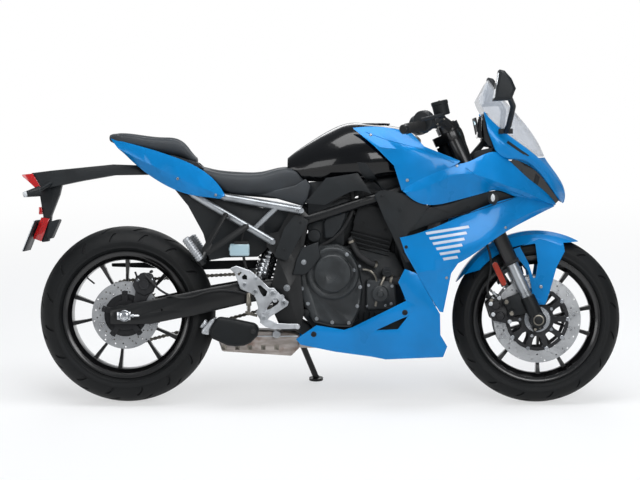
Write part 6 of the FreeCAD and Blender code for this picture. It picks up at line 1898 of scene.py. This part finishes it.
@dataclass
class Cockpit(Dresser):
    """The bars' switches, levers, hoses and gauges."""

    body: ClassVar[Body] = Body.FORK
    grip_length: float = 122.0
    grip_ribs: int = 22
    rib_step: float = 5.0
    # How far each hose bows forward and drops, its side place, its radius and how low it starts
    hoses: Sequence[tuple[float, ...]] = (
        (30, 16, 96, 7.0, 0), (34, 2, 88, 5.5, 14), (28, 30, 78, 8.0, 6), (24, 20, 70, 6.5, 22),
        (20, 38, 60, 8.5, 10), (38, -10, 54, 6.0, 30), (14, 8, 84, 6.0, 36), (30, 44, 46, 7.5, 18))

    def build(self) -> None:
        """Dresses both bars, the yoke and the display."""
        for side in (-1, 1):
            self.bar(side)
            self.cables(side)
        self.yoke()
        self.display()
        self.mirrors()

    @staticmethod
    def line(side: int) -> tuple[Vector, Vector]:
        """The end of a bar in the fork's frame, and the direction that it runs out in."""
        bend, end = Vector((FORK_OFFSET - 18, side * 177, 146)), Vector((-118, side * 385, 174))
        return end, (end - bend).normalized()

    def bar(self, side: int) -> None:
        """The end weight, the grip's ribs, the switches and the lever's screws."""
        hand = HANDS[side]
        end, out = self.line(side)
        turn = out.to_track_quat("Y", "Z").to_matrix().to_4x4()
        weight = Work.turned([(0, 1), (14, 1), (16.5, 4), (16.5, 13), (13, 17), (0, 17)], 40)
        weight.move(Matrix.Translation(end) @ turn)
        self.add(weight, f"bar_end_{hand}", "cast_dark", 40)
        ribs = []
        ring = Work.turned([(17, -1.0), (18.3, -0.7), (18.3, 0.7), (17, 1.0)], 32)
        for i in range(self.grip_ribs):
            at = end - out * (6 + i * self.rib_step)
            ribs.append(ring.twin(Matrix.Translation(at) @ turn))
        bpy.data.objects.remove(ring.object)
        flange = Work.turned([(15, -2), (23, -2), (23, 2), (15, 2)], 40).bevel(1.0, 1)
        ribs.append(flange.move(Matrix.Translation(end - out * (self.grip_length - 3)) @ turn))
        self.add(ribs, f"grip_ribs_{hand}", "rubber", 40)
        up = Vector((0, 0, 1))
        inboard = end - out * 121
        spot = inboard - out * 20 + up * 38
        back = Vector((-1, 0, 0.1)).normalized()
        drum = Work.turned([(0, -17), (33, -17), (38, -12), (38, 11), (34, 16), (0, 16)], 40)
        drum.move(Matrix.Translation(inboard - out * 6 + up * 12 + Vector((6, 0, 0))) @ turn)
        self.add(drum.bevel(1.5, 2, 25), f"switch_drum_{hand}", "moulded_plastic", 30)
        if side < 0:
            kill = Work.rod(spot - out * 2 + back * 12 - up * 8, spot - out * 2 + back * 20 - up * 4, 8.5,
                            6).bevel(2, 2)
            self.add(kill, "stop_switch", "red_lens")
        keys = []
        for i, (slide, rise, wide) in enumerate(((-6, -14, 6), (8, -16, 6), (1, -26, 8))):
            at = inboard - out * (22 + slide) + up * (34 + rise) + back * 22
            key = Work.box((-4, -wide, -4), (4, wide, 4)).bevel(1.6, 2)
            keys.append(key.move(Matrix.Translation(at) @ turn))
        self.add(keys, f"switch_keys_{hand}", "matt_black")
        forward = Vector((1, 0, 0.12)).normalized()
        root = inboard - out * 58
        pivot = root + forward * 46
        parts = [Work.rod(pivot - up * 13, pivot + up * 14, 6.5, 6).bevel(0.8, 1)]
        clamp = root + forward * 14
        for rise in (-12, 12):
            parts.append(Work.rod(clamp + up * rise, clamp + up * rise + forward * 8, 4.6, 20).bevel(0.8, 1))
        self.add(parts, f"lever_screws_{hand}", "drive_steel")
        if side < 0:
            self.reservoir(root)

    def reservoir(self, root: Vector) -> None:
        """The fluid pot's lid, its rim and its screws."""
        pot = root + Vector((48, 12, 14))
        up = Vector((0.2, 0, 1)).normalized()
        turn = up.to_track_quat("Y", "Z").to_matrix().to_4x4()
        top = Matrix.Translation(pot + up * 42) @ turn
        lid = Work.turned([(0, 5), (27, 5), (30, 2.5), (30, -7), (28.5, -9), (28, -44), (24, -47),
                           (0, -47)], 40)
        lid.move(top)
        self.add(lid, "reservoir_lid", "matt_black")
        screws = [Work.rod((a, 4, 0), (a, 7, 0), 3.4, 12).bevel(0.6, 1).move(top) for a in (-14, 14)]
        self.add(screws, "reservoir_screws", "drive_steel")

    def cables(self, side: int) -> None:
        """The hoses that bow forward from a bar and drop to the steering head."""
        hand = HANDS[side]
        end, out = self.line(side)
        root = end - out * 180
        parts = []
        for bow, drop, y, radius, low in self.hoses:
            start = root + Vector((24 - low * 0.5, -side * low * 0.4, 2 - low * 0.4))
            parts.append(Work.hose([
                start, start + Vector((20, -side * 8, 8)),
                Vector((FORK_OFFSET + bow * 0.8, side * y, 122 - drop - low)),
                Vector((FORK_OFFSET + bow, side * (y - 12), 84 - drop)),
                Vector((FORK_OFFSET + bow * 0.9, side * (y - 26), 40 - drop)),
                Vector((FORK_OFFSET + bow * 0.4, side * (y - 34) * 0.8, -2 - drop)),
                Vector((FORK_OFFSET + 8, side * (y - 40) * 0.6, -34 - low * 0.4)),
            ], radius, 12))
        self.add(parts, f"cockpit_hoses_{hand}", "rubber")
        ends = []
        for x, y, z in ((FORK_OFFSET + 18, 98, 108), (FORK_OFFSET + 28, 78, 76), (FORK_OFFSET + 8, 112, 128)):
            at = Vector((x, side * y, z))
            ends.append(Work.rod(at - Vector((0, 0, 9)), at + Vector((0, 0, 9)), 6.6, 6).bevel(0.8, 1))
        self.add(ends, f"hose_ends_{hand}", "drive_steel")

    def yoke(self) -> None:
        """The caps of the fork tubes."""
        parts = []
        for side in (-1, 1):
            place = Matrix.Translation((FORK_OFFSET, side * FORK_SPACING,
                                        131)) @ Matrix.Rotation(math.pi / 2, 4, "X")
            cap = Work.turned([(0, 6), (12, 6), (12, 2), (23, 2), (25, 0), (25, -4), (0, -4)], 36)
            parts.append(cap.move(place))
            parts.append(Work.rod((FORK_OFFSET, side * FORK_SPACING, 136),
                                  (FORK_OFFSET, side * FORK_SPACING, 142), 8, 6))
        self.add(parts, "fork_caps", "cast_dark")

    def display(self) -> None:
        """The gauge's bezel and its lit bars."""
        slope = Vector((-0.2, 0, 0.98)).normalized()
        face = Vector((519, 0, 982))
        back = Vector((-0.98, 0, -0.2)).normalized()
        turn = Matrix((back, Vector((0, 1, 0)), slope)).transposed().to_4x4()
        place = Matrix.Translation(face) @ turn
        bezel = Work.box((-1, -87, -36), (5, 87, 36))
        bezel.inset(facing(1, 0, 0), 7.0, 0.0)
        bezel.inset(lambda centre, normal: normal.x > 0.9 and centre.length < 12, 0.5, -2.5)
        self.bench.finish(bezel.bevel(1.2, 2).move(place), "gauge_bezel", Body.CHASSIS, "moulded_plastic")
        bars = []
        for i in range(18):
            y = -58 + i * 6.8
            bars.append(Work.box((2.0, y, 12), (3.0, y + 4.6, 16 + i * 0.7)).move(place))
        for y in (-70, 70):
            bars.append(Work.rod((2.0, y, -20), (3.2, y, -20), 3.0, 16).move(place))
        self.bench.finish(joined(bars), "gauge_bars", Body.CHASSIS, "gauge_glow")

    def mirrors(self) -> None:
        """The mirrors' glass, facing the rider."""
        panes = []
        for side in (-1, 1):
            low, high = sorted((side * 270.0, side * 372.0))
            way = Vector((17, 0, 100)).normalized()
            out = Vector((-way.z, 0, way.x))
            foot = Vector((560.5, 0, 1076)) + out * 1.4
            top = foot + way * 88
            pane = Work.face([(foot.x, low, foot.z), (foot.x, high, foot.z), (top.x, high, top.z),
                              (top.x, low, top.z)])
            with pane.editing("VERT"):
                bpy.ops.mesh.select_all(action="SELECT")
                bpy.ops.mesh.normals_make_consistent(inside=False)
            panes.append(pane.wall(2.4, 0.0).bevel(1.0, 2))
        self.bench.finish(joined(panes), "mirror_glass", Body.CHASSIS, "mirror_silver")


@dataclass
class Lamps(Dresser):
    """The lenses of the signals, the headlamp's parts, the tail lamp and the plate."""

    tail_ribs: int = 7
    rib_step: float = 16.0
    reflector: Line = ((-1040, 662), (-1010, 657), (-1040, 575), (-1071, 586))

    def build(self) -> None:
        """Builds the front and the rear."""
        self.front()
        self.rear()
        self.plate()

    def front(self) -> None:
        """The front signals' clear ends and the headlamps' strips."""
        for side, hand in HANDS.items():
            middle, tip = Vector((566, side * 206, 726)), Vector((562, side * 262, 731))
            out = (tip - middle).normalized()
            lens = Work.ball(tip - out * 2, (8.5, 4.0, 15.5), 12, 24)
            self.add(lens, f"front_signal_lens_{hand}", "clear_lens")
            hood = Work.rod(tip - out * 30, tip - out * 0.5, 18.2, 32).bevel(5.0, 3, 50)
            self.add(hood, f"front_signal_hood_{hand}", "matt_black")
            divider = self.bench.patch(("headlamps",), [(724, 818), (738, 806)], [(716, 788), (730, 776)],
                                       side, Body.CHASSIS, 1.2, 3, 4)
            self.add(divider, f"headlamp_divider_{hand}", "moulded_plastic")

    def rear(self) -> None:
        """The rear signals' lenses and the ribs of the tail lamp."""
        for side, hand in HANDS.items():
            base = Vector((-1034, side * 108, 756))
            out = Vector((-0.86, side * 0.3, -0.2)).normalized()
            lens = Work.rod(base + out * 50, base + out * 62.6, 11.6, 32, 9.4).bevel(2.0, 3, 50)
            self.add(lens, f"rear_signal_lens_{hand}", "clear_lens")
        ribs = []
        for i in range(self.tail_ribs):
            y = (i - (self.tail_ribs - 1) / 2) * self.rib_step
            ribs.append(Work.face([(-1105, y, 808), (-1072, y, 813), (-1042, y, 764),
                                   (-1048, y, 762)]).wall(2.0, 0.0))
        self.add(ribs, "tail_lamp_ribs", "deep_red_lens")

    def plate(self) -> None:
        """The side reflectors and the plate's bolts."""
        for side, hand in HANDS.items():
            low, high = sorted((side * 24, side * 34))
            lens = joined([Work.plate(self.reflector, low, high).bevel(2.2, 2, 40),
                           Work.box((-1049, low, 672), (-1038, high, 698)).bevel(1.5, 2)])
            self.add(lens, f"plate_reflector_{hand}", "red_lens")
        along = Vector((-44, 0, -110)).normalized()
        out = Vector((along.z, 0, -along.x))
        bolts = []
        for y in (-60, 60):
            at = Vector((-1061.4, y, 640)) + out * 1.5
            bolts.append(Work.rod(at - out * 2, at + out * 4, 5.0, 6).bevel(0.8, 1))
        self.add(bolts, "plate_bolts", "drive_steel")


@dataclass
class Brackets(Dresser):
    """The dark plates and linings behind the panels, and the seat's skirts."""

    screen: Line = (
        (533, 1024), (546, 1030), (555, 1002), (581, 938), (573, 913), (551, 916), (541, 935), (533, 981))
    wedge: Line = ((500, 862), (506, 894), (530, 902), (571, 911), (562, 884), (520, 858))
    rear_skirt: Line = ((-600, 884), (-566, 884), (-478, 857), (-455, 836), (-500, 830), (-560, 852))
    inlet: Line = ((560, 728), (560, 752), (640, 764), (708, 742), (640, 722))
    infill: Line = ((-244, 700), (-140, 684), (-156, 640), (-200, 580), (-240, 604))
    casting: Line = ((-124, 304), (-58, 268), (-62, 244), (-100, 240), (-134, 262))
    liner: Line = (
        (196, 640), (330, 660), (420, 680), (410, 640), (336, 604), (296, 470), (262, 470), (240, 540))
    skirt: Line = (
        (-300, 746), (-202, 731), (-102, 702), (-84, 730), (-73, 773), (-92, 800), (-130, 776), (-200, 760))

    def build(self) -> None:
        """Builds both sides."""
        for side, hand in HANDS.items():
            plates = []
            for outline, near, far in ((self.screen, 134, 140), (self.wedge, 128, 134),
                                       (self.inlet, 104, 108), (self.rear_skirt, 40, 84),
                                       (self.infill, 80, 84), (self.casting, 16, 60), (self.liner, 92, 95)):
                low, high = sorted((side * near, side * far))
                plates.append(Work.plate(outline, low, high).bevel(1.5, 2, 40))
            self.add(plates, f"nose_brackets_{hand}", "moulded_plastic")
            low, high = sorted((side * 62, side * 104))
            skirt = Work.plate(self.skirt, low, high).bevel(6.0, 3, 25)
            self.add(skirt, f"seat_skirt_{hand}", "seat_vinyl", 50)


@dataclass
class Seats(Dresser):
    """The two seats: crowned vinyl with a grooved seam and stitches along it."""

    crown: float = 2.6
    groove_depth: float = 1.8
    groove_half: float = 5.0
    stitch_inset: float = 5.5
    stitch_step: float = 7.0

    def build(self) -> None:
        """Makes both seats."""
        self.cushion("rider_seat", ((-446, 90), (-400, 108), (-330, 120), (-250, 110), (-180, 88),
                                    (-128, 72)))
        self.cushion("passenger_seat", ((-770, 50), (-740, 62), (-680, 72), (-600, 80), (-548, 76),
                                        (-510, 62)))

    def cushion(self, node: str, edge: Line) -> None:
        """A padded copy of a seat's solid, grooved along its sewn edge.

        Args:
            node: The seat's solid.
            edge: The (X, Y) line of its seam, half of it.
        """
        work = self.bench.copy(node)
        work.modify("REMESH", mode="VOXEL", voxel_size=4.0)
        work.modify("SMOOTH", factor=0.5, iterations=3)
        edge = sorted(edge)
        low, high = edge[0][0], edge[-1][0]

        def half_width(x: float) -> float:
            """The seam's distance from the centre at a place along the seat."""
            for (a, wide), (b, far) in zip(edge, edge[1:]):
                if a <= x <= b:
                    return wide + (far - wide) * (x - a) / (b - a)
            return edge[0][1] if x < low else edge[-1][1]

        normals = [vertex.normal.copy() for vertex in work.object.data.vertices]
        for vertex, normal in zip(work.object.data.vertices, normals):
            x, y = vertex.co.x, abs(vertex.co.y)
            if normal.z < 0.15:
                continue
            wide = half_width(x)
            across = max(0.0, 1 - (y / wide) ** 2)
            length = max(0.0, 1 - ((x - (low + high) / 2) / ((high - low) / 2)) ** 2)
            groove = max(0.0, 1 - abs(y - wide) / self.groove_half)
            vertex.co += normal * (self.crown * across * length ** 0.5 - self.groove_depth * groove)
        piece = self.add(work, f"{node}_cushion", "seat_vinyl", 60, [node])
        self.stitches(piece, node, low, high, half_width)

    def stitches(self, piece: bpy.types.Object, node: str, low: float, high: float,
                 half_width: Callable[[float], float]) -> None:
        """A row of stitches along each side's seam."""
        bike = self.bench.stance.bike
        turn = bike.inverted() @ piece.matrix_world
        points = [turn @ vertex.co for vertex in piece.data.vertices]
        tree = BVHTree.FromPolygons(points, [tuple(face.vertices) for face in piece.data.polygons])
        master = Work.rod((-2.4, 0, 0), (2.4, 0, 0), 0.7, 6)
        made = []
        for side in (-1, 1):
            x, last = low + 8, None
            while x < high - 8:
                hit = tree.ray_cast(Vector((x, side * (half_width(x) - self.stitch_inset), 1200)),
                                    Vector((0, 0, -1)))
                if hit[0] is not None:
                    if last is not None:
                        way = (hit[0] - last).normalized().to_track_quat("X", "Z").to_matrix().to_4x4()
                        made.append(master.twin(Matrix.Translation(hit[0] + hit[1] * 0.3) @ way))
                    last = hit[0]
                x += self.stitch_step
        bpy.data.objects.remove(master.object)
        self.add(made, f"{node}_stitches", "thread")


@dataclass
class Studio:
    """The pale floor, the soft light and the camera."""

    stance: Stance
    eye: Point = (47.0, -8500.0, 795.0)
    aim: Point = (-42.4, 0.0, 579.8)
    lens: float = 133.2
    floor_reach: float = 60.0

    def build(self) -> None:
        """Builds the studio round the bike."""
        self.camera()
        self.floor()
        self.lamps()

    def camera(self) -> None:
        """Looks at the bike's right side as if it stood upright."""
        data = bpy.data.cameras.new("camera")
        data.lens, data.sensor_width = self.lens, 36.0
        data.clip_start, data.clip_end = 0.1, 200.0
        camera = bpy.data.objects.new("camera", data)
        bpy.context.scene.collection.objects.link(camera)
        bike = self.stance.bike
        eye, aim = bike @ Vector(self.eye), bike @ Vector(self.aim)
        back = (eye - aim).normalized()
        up = (bike.to_3x3() @ Vector((0, 0, 1))).normalized()
        right = up.cross(back).normalized()
        turn = Matrix((right, back.cross(right), back)).transposed()
        camera.matrix_world = Matrix.Translation(eye) @ turn.to_4x4()
        bpy.context.scene.camera = camera

    def floor(self) -> None:
        """Lays a white floor that keeps soft shadows."""
        clear()
        bpy.ops.mesh.primitive_plane_add(size=self.floor_reach, location=(0, 0, 0))
        floor = bpy.context.object
        floor.name = "studio_floor"
        graph = Graph("studio_white")
        graph.shade(Base_Color=Paint(232, 234, 236), Roughness=0.85, Specular_IOR_Level=0.1)
        path = graph.node("ShaderNodeLightPath")
        seen = [Signal(graph, path.outputs[name]) for name in ("Is Camera Ray", "Is Glossy Ray",
                                                               "Is Transmission Ray")]
        glow = graph.node("ShaderNodeEmission", None, {"Color": (1, 1, 1, 1), "Strength": 1.0})
        centre = graph.node("ShaderNodeVectorMath", {"operation": "LENGTH"}, {0: graph.place()})
        away = Signal(graph, centre.outputs["Value"]).ramp(1.4, 4.2, 0.55, 1.0)
        share = (seen[0] + seen[1] + seen[2]) * away
        mixed = graph.node("ShaderNodeMixShader", None, {0: share, 1: graph.shader.outputs[0],
                                                         2: glow.outputs[0]})
        graph.tree.links.new(mixed.outputs[0], graph.output.inputs["Surface"])
        floor.data.materials.append(graph.material)

    def lamps(self) -> None:
        """Hangs soft boxes above and beside the bike."""
        world = bpy.data.worlds.new("studio_world")
        bpy.context.scene.world = world
        world.use_nodes = True
        tree = world.node_tree
        tree.nodes.clear()
        seen = tree.nodes.new("ShaderNodeLightPath")
        ambient = tree.nodes.new("ShaderNodeBackground")
        ambient.inputs["Color"].default_value = (0.86, 0.9, 0.95, 1)
        ambient.inputs["Strength"].default_value = 0.3
        white = tree.nodes.new("ShaderNodeBackground")
        white.inputs["Color"].default_value = (1, 1, 1, 1)
        mixed = tree.nodes.new("ShaderNodeMixShader")
        output = tree.nodes.new("ShaderNodeOutputWorld")
        tree.links.new(seen.outputs["Is Camera Ray"], mixed.inputs[0])
        tree.links.new(ambient.outputs[0], mixed.inputs[1])
        tree.links.new(white.outputs[0], mixed.inputs[2])
        tree.links.new(mixed.outputs[0], output.inputs["Surface"])
        boxes = {
            "top_box": ((0.1, -0.4, 3.4), (0, 0, 0.4), (3.6, 1.6), 105.0),
            "key_box": ((1.8, -4.2, 2.8), (0, 0, 0.55), (2.6, 1.8), 95.0),
            "fill_box": ((-3.4, -3.4, 1.6), (0, 0, 0.55), (2.4, 1.6), 40.0),
            "back_box": ((0.2, 3.6, 2.6), (0, 0, 0.7), (3.6, 1.4), 60.0),
        }
        for name, (place, target, size, power) in boxes.items():
            data = bpy.data.lights.new(name, "AREA")
            data.shape, data.energy = "RECTANGLE", power
            data.size, data.size_y = size
            lamp = bpy.data.objects.new(name, data)
            lamp.location = place
            lamp.rotation_euler = (Vector(target) - Vector(place)).to_track_quat("-Z", "Y").to_euler()
            bpy.context.scene.collection.objects.link(lamp)


def corners(box: tuple[Vector, Vector]) -> list[list[float]]:
    """A box as plain lists of numbers."""
    return [list(corner) for corner in box]


def main() -> None:
    """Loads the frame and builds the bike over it."""
    logging.basicConfig(level=logging.WARNING, format="%(message)s")
    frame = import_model()
    bpy.context.scene.view_settings.view_transform = "Standard"
    stance = Stance(frame["joints"])
    bench = Bench(stance, Finishes(frame["joints"]), frame["nodes"])
    Studio(stance).build()
    Dressing(bench).build()
    Wheel(bench, "front", Body.FRONT_WHEEL, radius=300.0, half=60.0, bead_half=44.5, hub=34.0, hub_half=58.0,
          bore=10.1, spoke_turn=69.7, pitches=16).build()
    Wheel(bench, "rear", Body.REAR_WHEEL, radius=315.0, half=90.0, bead_half=70.0, hub=52.0, hub_half=90.0,
          bore=12.6, spoke_turn=104.0, pitches=16).build()
    Brakes(bench).build()
    Drive(bench).build()
    FootControls(bench).build()
    PassengerPegs(bench).build()
    Exhaust(bench).build()
    RearEnd(bench).build()
    Engine(bench).build()
    ForkDetails(bench).build()
    Panels(bench).build()
    Cockpit(bench).build()
    Lamps(bench).build()
    Brackets(bench).build()
    Seats(bench).build()


if __name__ == "__main__":
    main()
